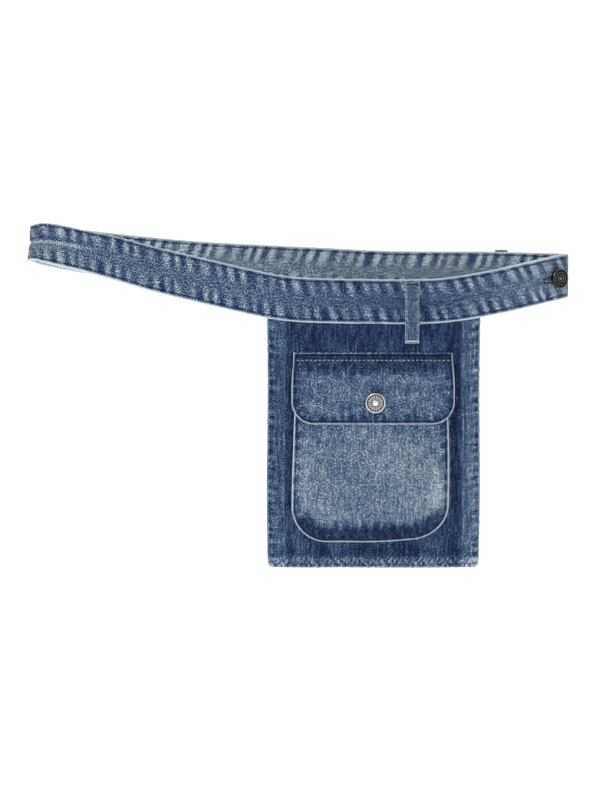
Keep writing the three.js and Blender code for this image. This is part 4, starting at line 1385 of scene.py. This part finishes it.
def denim_wash() -> bpy.types.NodeTree:
    """The washed denim pattern, from cloth places, shared by every denim finish."""
    group, n = new_group(
        "denim_wash",
        {
            "Weave": (0.0, 0.0, 0.0), "Seam": (9.0, 0.0, 0.0), "Across Scale": 1.0, "Along Scale": 0.08,
            "Streak": 0.1, "Grain": 0.1, "Blotch": 0.06, "Twill": 0.06, "Rub": 0.8, "Needle Marks": 0.3,
        },
        {"Color": "NodeSocketColor", "Roughness": "NodeSocketFloat", "Height": "NodeSocketFloat"},
    )
    given = n.add("NodeGroupInput").outputs
    weave, seam = n.add("ShaderNodeSeparateXYZ"), n.add("ShaderNodeSeparateXYZ")
    n.set(weave.inputs[0], given["Weave"])
    n.set(seam.inputs[0], given["Seam"])
    # The weave's third part is the tone: wear, with painted light and shade on some pieces.
    across, along, toned = weave.outputs
    distance, run, _ = seam.outputs
    flat = n.vector(across, along)
    warp = n.vector(*(n.math("MULTIPLY", *pair) for pair in (
        (across, given["Across Scale"]), (along, given["Along Scale"])
    )))
    streak, grain = n.noise(warp, 1.0, 3.0, 0.62), n.noise(flat, GRAIN_SCALE, 1.5, 0.5)
    blotch = n.noise(flat, BLOTCH_SCALE, 3.0, 0.6)
    slope = n.math("ADD", across, n.math("MULTIPLY", along, TWILL_SLOPE))
    diagonal = n.math("MULTIPLY", slope, 2 * math.pi / TWILL_PITCH)
    twill = n.math("SINE", n.math("ADD", diagonal, n.math("MULTIPLY", grain, 3.0)))
    for value, key in ((streak, "Streak"), (grain, "Grain"), (blotch, "Blotch"), (twill, "Twill")):
        toned = n.mix_in(value, given[key], toned)
    off = n.math("DIVIDE", n.math("ABSOLUTE", n.math("SUBTRACT", distance, NEEDLE_LINE)), NEEDLE_REACH)
    beside = n.math("MAXIMUM", n.math("SUBTRACT", 1.0, off), 0.0)
    holes = n.mix_in(n.wave(run, STITCH_PITCH), 0.3, 0.7)
    marks = n.math("MULTIPLY", n.math("MULTIPLY", beside, holes), given["Needle Marks"])
    toned = n.math("SUBTRACT", toned, marks)
    rope = n.wave(n.mix_in(distance, ROPE_SLANT, run), ROPE_PITCH)
    ragged = n.mix_in(rope, 0.42, n.mix_in(grain, 0.9, n.mix_in(blotch, 0.5, distance)))
    rubbed = n.math("MULTIPLY", n.ramp(ragged, RUB_END, RUB_FULL), given["Rub"])
    toned = n.mix_in(rubbed, n.math("SUBTRACT", RUBBED_FADE, toned), toned)
    ramp = n.add("ShaderNodeValToRGB")
    n.set(ramp.inputs[0], toned)
    stops = ramp.color_ramp.elements
    for index, (place, colour) in enumerate(TONE_COLOURS):
        stop = stops[index] if index < 2 else stops.new(place)
        stop.position, stop.color = place, linear(colour)
    leave = n.add("NodeGroupOutput").inputs
    n.set(leave["Color"], ramp.outputs["Color"])
    n.set(leave["Roughness"], n.mix_in(grain, 0.07, 0.86))
    n.set(leave["Height"], n.mix_in(grain, 0.5, n.mix_in(twill, 0.3, n.math("MULTIPLY", streak, 0.45))))
    return group


def speckle() -> bpy.types.NodeTree:
    """A mottled mask and relief in the object's own place, shared by thread and metal."""
    group, n = new_group(
        "speckle", {"Scale": 1000.0, "Contrast": 0.5},
        {"Mask": "NodeSocketFloat", "Height": "NodeSocketFloat"},
    )
    given = n.add("NodeGroupInput").outputs
    place = n.add("ShaderNodeTexCoord").outputs["Object"]
    coarse = n.noise(place, given["Scale"], 3.0, 0.6)
    leave = n.add("NodeGroupOutput").inputs
    n.set(leave["Mask"], n.mix_in(coarse, given["Contrast"], 0.5))
    n.set(leave["Height"], coarse)
    return group


def new_material(name: str, group: bpy.types.NodeTree, values: dict) -> tuple:
    """A bare material with one shared group in it.

    Args:
        name: The material's name.
        group: The shared group.
        values: Its inputs' values.

    Returns:
        The material, its nodes, the group's node and an unjoined shader.
    """
    material = bpy.data.materials.new(name)
    material.use_nodes = True
    material.node_tree.nodes.clear()
    n = Nodes(material.node_tree)
    used = n.add("ShaderNodeGroup", node_tree=group)
    for key, value in values.items():
        used.inputs[key].default_value = value
    shader = n.add("ShaderNodeBsdfPrincipled")
    n.set(n.add("ShaderNodeOutputMaterial").inputs["Surface"], shader.outputs[0])
    return material, n, used, shader.inputs


@dataclass(frozen=True)
class DenimFinish:
    """One washed denim: how its warp runs, and how grainy and worn it is."""

    name: str
    across_scale: float
    along_scale: float
    streak: float
    grain: float
    blotch: float
    rub: float
    needle_marks: float
    twill: float = 0.07
    bump: float = 0.7

    def material(self, wash: bpy.types.NodeTree) -> bpy.types.Material:
        """Makes the material."""
        material, n, group, shader = new_material(self.name, wash, {
            "Across Scale": self.across_scale, "Along Scale": self.along_scale, "Streak": self.streak,
            "Grain": self.grain, "Blotch": self.blotch, "Twill": self.twill, "Rub": self.rub,
            "Needle Marks": self.needle_marks,
        })
        for attribute, key in (("weave", "Weave"), ("seam", "Seam")):
            source = n.add("ShaderNodeAttribute", attribute_name=attribute)
            n.set(group.inputs[key], source.outputs["Vector"])
        n.set(shader["Base Color"], group.outputs["Color"])
        n.set(shader["Roughness"], group.outputs["Roughness"])
        n.set(shader["Normal"], n.bumped(group.outputs["Height"], self.bump, 0.00035))
        shader["Specular IOR Level"].default_value = 0.18
        shader["Sheen Weight"].default_value = 0.06
        shader["Sheen Roughness"].default_value = 0.6
        return material


@dataclass(frozen=True)
class PlainFinish:
    """Thread or metal: two colours mottled together, with a tarnish that lies in the hollows; on the button
    caps the bright colour left on the crests is painted highlight, partly polished metal on the pewter.
    """

    name: str
    bright: tuple[int, int, int]
    dull: tuple[int, int, int]
    scale: float
    metallic: float
    roughness: tuple[float, float]
    tarnish_and_crest_highlight: bool = False
    contrast: float = 0.5
    bump: float = 0.3

    def material(self, mottle: bpy.types.NodeTree) -> bpy.types.Material:
        """Makes the material."""
        values = {"Scale": self.scale, "Contrast": self.contrast}
        material, n, group, shader = new_material(self.name, mottle, values)
        mask = group.outputs["Mask"]
        # The mask puts tarnish in the hollows and leaves the crests bright, which on the button caps is
        # painted highlight.
        if self.tarnish_and_crest_highlight:
            tarnish_and_highlight = n.add("ShaderNodeAttribute", attribute_name="tarnish_and_highlight").outputs["Fac"]
            mask = n.math("MULTIPLY", n.math("ADD", mask, 0.5), n.math("SUBTRACT", 1.0, tarnish_and_highlight))
        mix = n.add("ShaderNodeMix", data_type="RGBA")
        n.set(mix.inputs["Factor"], mask)
        mix.inputs[6].default_value, mix.inputs[7].default_value = linear(self.dull), linear(self.bright)
        n.set(shader["Base Color"], mix.outputs[2])
        shader["Metallic"].default_value = self.metallic
        n.set(shader["Roughness"], n.ramp(mask, 0.0, 1.0, self.roughness[1], self.roughness[0]))
        n.set(shader["Normal"], n.bumped(group.outputs["Height"], self.bump, 0.0001))
        return material


class Finish(Enum):
    """Every finish on the pack."""

    BAND = DenimFinish("washed_band_denim", 0.07, 0.75, 0.34, 1.2, 0.16, 0.95, 0.6, 0.16)
    PANEL = DenimFinish("dark_panel_denim", 0.62, 0.045, 0.6, 1.0, 0.2, 0.7, 0.2, 0.14)
    POCKET = DenimFinish("faded_pocket_denim", 0.6, 0.06, 0.42, 1.2, 0.27, 0.95, 0.8, 0.17)
    FLAP = DenimFinish("faded_flap_denim", 0.6, 0.06, 0.42, 1.2, 0.4, 0.95, 0.8, 0.16)
    GUSSET = DenimFinish("dark_gusset_denim", 0.8, 0.2, 0.2, 0.8, 0.1, 0.0, 0.0, 0.12)
    LOOP = DenimFinish("rubbed_loop_denim", 0.9, 0.15, 0.3, 1.1, 0.1, 0.75, 0.0, 0.15)
    DARK_THREAD = PlainFinish("indigo_thread", (38, 52, 84), (12, 21, 46), 1500.0, 0.0, (0.7, 0.9))
    PALE_THREAD = PlainFinish("pale_thread", (214, 217, 216), (150, 158, 166), 1500.0, 0.0, (0.7, 0.9))
    # The caps' bright colours show on their crests: on the pewter partly polished metal and partly painted
    # highlight, on the black gunmetal painted highlight.
    PEWTER = PlainFinish("antique_pewter", (255, 255, 255), (40, 40, 50), 700.0, 0.8, (0.26, 0.5), True, 0.2)
    GUNMETAL = PlainFinish("black_gunmetal", (112, 114, 118), (2, 2, 3), 700.0, 1.0, (0.22, 0.36), True, 0.5)
    SHANK = PlainFinish("plain_shank_metal", (150, 148, 142), (90, 88, 84), 900.0, 1.0, (0.35, 0.5))


class Wardrobe:
    """Makes each finish's material once and puts it on pieces."""

    def __init__(self) -> None:
        """Builds the shared groups and every material."""
        wash, mottle = denim_wash(), speckle()
        self.materials = {}
        for finish in Finish:
            group = wash if isinstance(finish.value, DenimFinish) else mottle
            self.materials[finish] = finish.value.material(group)

    def dress(self, piece: bpy.types.Object, finish: Finish) -> bpy.types.Object:
        """Gives a piece one finish all over."""
        piece.data.materials.clear()
        piece.data.materials.append(self.materials[finish])
        return piece


# ------------------------------------------------------------ joining the frame
@dataclass(frozen=True)
class Bend:
    """Two bodies that a soft piece crosses, and the points between which it turns."""

    bodies: tuple[str, str]
    start: tuple[float, float, float]
    end: tuple[float, float, float]


BELOW_BAND = Bend(("belt", "pouch"), (0, -0.002, -0.0195), (0, -0.002, -0.0315))
FLAP_TOP = Bend(("pouch", "flap"), (0, -0.0053, -0.0478), (0, -0.0053, -0.0545))
BELT_TIP = Bend(("belt", "belt_end"), (0.1065, -0.0012, 0.0105), (0.1245, 0.0028, 0.0105))


def fasten(
    piece: bpy.types.Object, holder: object, slot_name: str, finish: Finish, wardrobe: Wardrobe,
    stands_for: Sequence[str] = (),
) -> bpy.types.Object:
    """Dresses a piece, and makes it follow a body; a piece that crosses a bend has its transform baked into
    its mesh instead.

    Args:
        piece: The finished piece.
        holder: A body's name, or the bend that it crosses.
        slot_name: The record's material slot.
        finish: Its finish.
        wardrobe: The materials.
        stands_for: CAD nodes that the piece is shown in place of.

    Returns:
        The piece.
    """
    wardrobe.dress(piece, finish)
    if stands_for:
        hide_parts(*stands_for)
    if isinstance(holder, Bend):
        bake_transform(piece)
    else:
        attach(piece, holder)
    LOG.info("%s: %d faces, %s", piece.name, len(piece.data.polygons), slot_name)
    return piece


def level(v: float) -> Callable[[Array], tuple[Array, Array]]:
    """A seam along the pattern's across direction."""
    return lambda run: (run, np.full_like(run, v))


def upright(x: float) -> Callable[[Array], tuple[Array, Array]]:
    """A seam along the pattern's along direction."""
    return lambda run: (np.full_like(run, x), run)


def seam_round(outline: Outline) -> Callable[[Array], tuple[Array, Array]]:
    """A seam beside an outline's sides and bottom."""
    return lambda run: outline.squared(run, SEAM_INSET)


# ------------------------------------------------------------ sub-assemblies
@dataclass
class Waistband:
    """The belt: a long stiffened band and its free buttoned end."""

    wardrobe: Wardrobe
    underlap: float = 109.5
    hidden_join: float = 32.7
    tip: float = 177.0
    slit_before: float = 13.5

    def build(self) -> list[bpy.types.Object]:
        """Makes both stretches, their seams and the buttonhole."""
        join, button = ROUTE.length + self.hidden_join, ROUTE.length + ROUTE.button_u
        slit = Slit(0.0, button - self.slit_before, button + BandCloth.eye, False)
        band = BandCloth("waistband", self.underlap, join, finished_start=True)
        end = ROUTE.length + self.tip
        tip = BandCloth("waistband_end", join, end, finished_end=True, slit=slit, step=1.8)
        pieces = []
        for cloth, holder, prefix, under in (
            (band, "belt", "belt", "rear_belt_loop"), (tip, BELT_TIP, "belt_end", "belt_button_cap")
        ):
            nodes = tuple(f"{prefix}_{ply}" for ply in ("inner_ply", "interlining", "outer_ply"))
            piece = fasten(cloth.build(), holder, "band_denim", Finish.BAND, self.wardrobe, nodes)
            pieces.append(piece)
        seam = band.half_width - SEAM_INSET
        rows, tip_rows = [], []
        for side in Side:
            for v in (-seam, seam):
                rows.append(running_stitches(band, level(v), band.start + 3, band.end, side))
                tip_rows.append(running_stitches(tip, level(v), tip.start, tip.end - 3, side))
            tip_rows.append(running_stitches(tip, upright(tip.end - SEAM_INSET), -seam, seam, side))
            rows.append(running_stitches(band, upright(band.start + SEAM_INSET), -seam, seam, side))
        hole = [whipped_stitches(tip, side) for side in Side]
        for name, runs, thread, holder, nodes in (
            ("waistband_stitches", rows, Thread(), "belt", ()),
            ("waistband_end_stitches", tip_rows, Thread(), BELT_TIP, ()),
            ("waistband_buttonhole", hole, WHIPPING, BELT_TIP, ("belt_end_buttonhole",)),
        ):
            sewn = thread.sew(name, runs)
            pieces.append(fasten(sewn, holder, "thread", Finish.DARK_THREAD, self.wardrobe, nodes))
        return pieces


@dataclass
class Panel:
    """The pouch's flat two-ply panel, sewn up under the waistband."""

    wardrobe: Wardrobe

    def build(self) -> list[bpy.types.Object]:
        """Makes both plies and their hem seams."""
        front = PanelCloth("front_panel_cloth", Side.FACE, -2.08, 0.8)
        back = PanelCloth("back_panel_cloth", Side.BACK, -0.86, 0.15)
        pieces, rows = [], []
        for cloth, node in ((front, "front_panel"), (back, "back_panel")):
            piece = fasten(cloth.build(), BELOW_BAND, "panel_denim", Finish.PANEL, self.wardrobe, (node,))
            o = cloth.outline
            pieces.append(piece)
            x, z = o.half - cloth.hem, o.bottom + cloth.bottom_hem
            for sign in (-1, 1):
                rows.append(running_stitches(cloth, upright(sign * x), z, o.top - 4, cloth.face))
            rows.append(running_stitches(cloth, level(z), -o.half + 3, o.half - 3, cloth.face))
        stitches = Thread(width=0.55, height=0.45).sew("panel_hem_stitches", rows)
        pieces.append(fasten(stitches, BELOW_BAND, "thread", Finish.DARK_THREAD, self.wardrobe))
        return pieces


@dataclass
class Pocket:
    """The gusseted patch pocket."""

    wardrobe: Wardrobe

    def build(self) -> list[bpy.types.Object]:
        """Makes the front, the gusset and their seams."""
        cloth = PocketCloth()
        gusset = GussetCloth(cloth)
        o = cloth.outline
        front = fasten(cloth.build(), "pouch", "faded_denim", Finish.POCKET, self.wardrobe,
                       ("pocket_front", "pocket_mouth_facing"))
        strip = fasten(gusset.build(), "pouch", "faded_denim", Finish.GUSSET, self.wardrobe,
                       ("pocket_gusset",))
        hem, reach = o.top - cloth.mouth_hem, o.half - 3
        rows = [
            running_stitches(cloth, seam_round(o), 2, o.length - 2),
            running_stitches(cloth, level(hem), o.centre - reach, o.centre + reach),
        ]
        stitches = Thread().sew("pocket_stitches", rows)
        return [front, strip, fasten(stitches, "pouch", "thread", Finish.DARK_THREAD, self.wardrobe)]


@dataclass
class Flap:
    """The pocket's flap, with its seam strip, its buttonhole and its pale top stitching."""

    wardrobe: Wardrobe
    top_pitch: float = 3.8

    def build(self) -> list[bpy.types.Object]:
        """Makes the flap and its seams."""
        cloth = FlapCloth()
        o = cloth.outline
        flap = fasten(cloth.build(), FLAP_TOP, "faded_denim", Finish.FLAP, self.wardrobe,
                      ("flap_outer", "flap_lining", "flap_seam_strip"))
        reach = o.half - 2
        edge = [running_stitches(cloth, seam_round(o), 7, o.length - 7, side) for side in Side]
        top = running_stitches(cloth, level(cloth.hinge), o.centre - reach, o.centre + reach,
                               pitch=self.top_pitch, fill=0.6)
        hole = [whipped_stitches(cloth, side) for side in Side]
        pieces = [flap]
        for name, runs, thread, finish, nodes in (
            ("flap_stitches", edge, Thread(), Finish.DARK_THREAD, ()),
            ("flap_top_stitches", [top], Thread(width=0.85, height=0.6), Finish.PALE_THREAD, ()),
            ("flap_buttonhole_stitches", hole, WHIPPING, Finish.DARK_THREAD, ("flap_buttonhole",)),
        ):
            pieces.append(fasten(thread.sew(name, runs), FLAP_TOP, "thread", finish, self.wardrobe, nodes))
        return pieces


@dataclass
class BeltLoop:
    """A belt loop with its edge stitching and its two bartacks."""

    wardrobe: Wardrobe
    cloth: LoopCloth
    holder: object
    node: str
    bartacks: tuple[tuple[str, str, Finish], ...]
    rests_on: str
    bartack_inset: float = 2.0

    def build(self) -> list[bpy.types.Object]:
        """Makes the loop."""
        c = self.cloth
        loop = fasten(c.build(), self.holder, "band_denim", Finish.LOOP, self.wardrobe, (self.node,))
        rows = [running_stitches(c, upright(x), c.bottom + 3, c.top - 3, pitch=2.9) for x in (-4.0, 4.0)]
        edges = Thread(width=0.5, height=0.42).sew(c.name + "_stitches", rows)
        pieces = [loop, fasten(edges, self.holder, "thread", Finish.PALE_THREAD, self.wardrobe)]
        for node, body, finish in self.bartacks:
            upper = node.endswith("upper_bartack")
            z = c.top - self.bartack_inset if upper else c.bottom + self.bartack_inset
            x = np.linspace(-4.9, 4.9, 25)
            run = StitchRun(c, (x, np.full_like(x, z - 0.9)), (x + 0.2, np.full_like(x, z + 0.9)))
            bar = Thread(width=0.5, height=0.55).sew(node.replace("bartack", "bar_stitches"), [run])
            pieces.append(fasten(bar, body, "thread", finish, self.wardrobe, (node,)))
        return pieces


# Radii and heights of the caps' rings, from the rolled edge below up and in to the centre.
PEWTER_RINGS = (
    (3.0, 3.62), (7.4, 3.75), (8.3, 4.2), (8.6, 5.0), (8.6, 6.2), (8.4, 7.0), (8.1, 7.42), (7.7, 7.46),
    (7.35, 7.1), (7.1, 6.86), (6.7, 6.88), (6.2, 7.06), (5.6, 7.12), (4.8, 7.08), (4.0, 7.08), (3.4, 7.12),
    (3.0, 7.1), (2.8, 6.75), (2.55, 6.78), (2.35, 7.3), (2.0, 7.52), (1.2, 7.66), (0.3, 7.7),
)
GUNMETAL_RINGS = (
    (3.0, 4.02), (7.4, 4.15), (8.3, 4.6), (8.6, 5.4), (8.6, 6.6), (8.45, 7.35), (8.15, 7.75), (7.85, 7.72),
    (7.4, 7.3), (6.9, 7.2), (6.3, 7.25), (5.7, 7.48), (5.1, 7.48), (4.6, 7.25), (4.1, 7.15), (3.6, 7.25),
    (3.3, 7.6), (3.0, 7.6), (2.6, 7.25), (2.1, 7.2), (1.6, 7.45), (0.9, 7.7), (0.25, 7.75),
)


@dataclass
class Buttons:
    """The pocket's antique button and the waistband's black one."""

    wardrobe: Wardrobe

    def build(self) -> list[bpy.types.Object]:
        """Makes both caps and dresses the shanks and tacks that the frame carries."""
        pewter = ButtonCap("pocket_button_face", "pocket_button_cap", "pocket_button_spin", 3.6, PEWTER_RINGS,
                           rays=18, ray_depth=0.14, rayed=(3.0, 6.9), hollow=(0.2, 2.15))
        gunmetal = ButtonCap("belt_button_face", "belt_button_cap", "belt_button_spin", 4.0, GUNMETAL_RINGS,
                             rays=20, ray_depth=0.09, rayed=(4.2, 7.2), hollow=(0.12, 3.2))
        pieces = []
        for cap, body, slot_name, finish in (
            (pewter, "pocket_button", "pewter_metal", Finish.PEWTER),
            (gunmetal, "belt_button", "black_metal", Finish.GUNMETAL),
        ):
            pieces.append(fasten(cap.build(), body, slot_name, finish, self.wardrobe, (cap.node,)))
        for node in ("pocket_button_shank", "pocket_button_tack", "belt_button_shank", "belt_button_tack"):
            self.wardrobe.dress(bpy.data.objects[node], Finish.SHANK)
        return pieces


# ------------------------------------------------------------ the studio
@dataclass(frozen=True)
class Studio:
    """The floor, the lights and the camera."""

    floor_drop: float = 0.03
    floor_size: float = 24.0
    floor_glow: float = 0.7
    surround: float = 0.45
    backdrop: float = 0.6  # added to the surround where the camera sees it
    lamp_aim: tuple[float, float, float] = (-0.05, 0, -0.05)
    lamps: tuple = (  # name, place, size and power
        ("key_lamp", (-0.75, -1.1, 1.15), 0.5, 12.0),
        ("fill_lamp", (1.2, -1.3, 0.2), 1.0, 3.5),
        ("top_lamp", (0.1, 0.5, 1.3), 0.9, 5.0),
    )
    target: tuple[float, float, float] = (-0.0628, 0.0, -0.0842)
    span: float = 0.684
    lens: float = 120.0
    sensor: float = 36.0
    elevation: float = 5.0

    def build(self) -> None:
        """Makes the studio."""
        self.lay_floor()
        self.hang_lights()
        self.place_camera()

    def lay_floor(self) -> None:
        """A plain pale floor that glows a little."""
        deselect()
        height = CAD_BOX[0][2] - self.floor_drop
        bpy.ops.mesh.primitive_plane_add(size=self.floor_size, location=(0, 0, height))
        floor = bpy.context.object
        floor.name = "studio_floor"
        bpy.ops.object.transform_apply(location=True, rotation=True, scale=True)
        material = bpy.data.materials.new("pale_floor")
        material.use_nodes = True
        shader = material.node_tree.nodes["Principled BSDF"]
        shader.inputs["Base Color"].default_value = (0.92, 0.92, 0.92, 1)
        shader.inputs["Roughness"].default_value = 0.9
        shader.inputs["Specular IOR Level"].default_value = 0.0
        shader.inputs["Emission Color"].default_value = (1, 1, 1, 1)
        shader.inputs["Emission Strength"].default_value = self.floor_glow
        floor.data.materials.append(material)

    def hang_lights(self) -> None:
        """A white surround and three soft lamps."""
        world = bpy.context.scene.world or bpy.data.worlds.new("surround")
        bpy.context.scene.world = world
        world.use_nodes = True
        world.node_tree.nodes.clear()
        n = Nodes(world.node_tree)
        background = n.add("ShaderNodeBackground")
        background.inputs["Color"].default_value = (1, 1, 1, 1)
        seen = n.add("ShaderNodeLightPath").outputs["Is Camera Ray"]
        n.set(background.inputs["Strength"], n.mix_in(seen, self.backdrop, self.surround))
        n.set(n.add("ShaderNodeOutputWorld").inputs["Surface"], background.outputs[0])
        for name, place, size, power in self.lamps:
            lamp = bpy.data.lights.new(name, "AREA")
            lamp.size, lamp.energy = size, power
            holder = bpy.data.objects.new(name, lamp)
            bpy.context.collection.objects.link(holder)
            holder.location = place
            aim = Vector(self.lamp_aim) - Vector(place)
            holder.rotation_euler = aim.to_track_quat("-Z", "Y").to_euler()

    def place_camera(self) -> None:
        """The camera, a little above the pouch and square to it."""
        camera = bpy.data.cameras.new("camera")
        camera.sensor_fit = "VERTICAL"
        camera.sensor_height = camera.sensor_width = self.sensor
        camera.lens = self.lens
        distance = self.span * self.lens / self.sensor
        lift = math.radians(self.elevation)
        holder = bpy.data.objects.new("camera", camera)
        bpy.context.collection.objects.link(holder)
        holder.location = Vector(self.target) + Vector((0, -math.cos(lift), math.sin(lift))) * distance
        holder.rotation_euler = (math.pi / 2 - lift, 0, 0)
        bpy.context.scene.camera = holder
        bpy.context.scene.view_settings.view_transform = "Standard"


def main() -> None:
    """Builds the waist pack and its studio."""
    logging.basicConfig(level=logging.INFO, format="%(message)s")
    wardrobe = Wardrobe()
    dark, pale = Finish.DARK_THREAD, Finish.PALE_THREAD
    up = (0, 0, 1)
    front_loop = LoopCloth("front_loop", (32.7, -3.0, 0.0), (0, -1, 0), up, 16.9, -35.5)
    rear_loop = LoopCloth("rear_loop", (112.7, 62.6, 21.6), (0.372, 0.928, 0.0), up, 20.5, -18.0)
    front_bars = (("front_loop_upper_bartack", "belt", dark), ("front_loop_lower_bartack", "pouch", pale))
    rear_bars = (("rear_loop_upper_bartack", "belt", dark), ("rear_loop_lower_bartack", "belt", dark))
    parts = (
        Waistband(wardrobe),
        Panel(wardrobe),
        Pocket(wardrobe),
        Flap(wardrobe),
        BeltLoop(wardrobe, front_loop, BELOW_BAND, "front_belt_loop", front_bars, "waistband"),
        BeltLoop(wardrobe, rear_loop, "belt", "rear_belt_loop", rear_bars, "waistband"),
        Buttons(wardrobe),
    )
    for part in parts:
        pieces = part.build()
        LOG.info("%s: %d pieces", type(part).__name__, len(pieces))
    Studio().build()


if __name__ == "__main__":
    main()
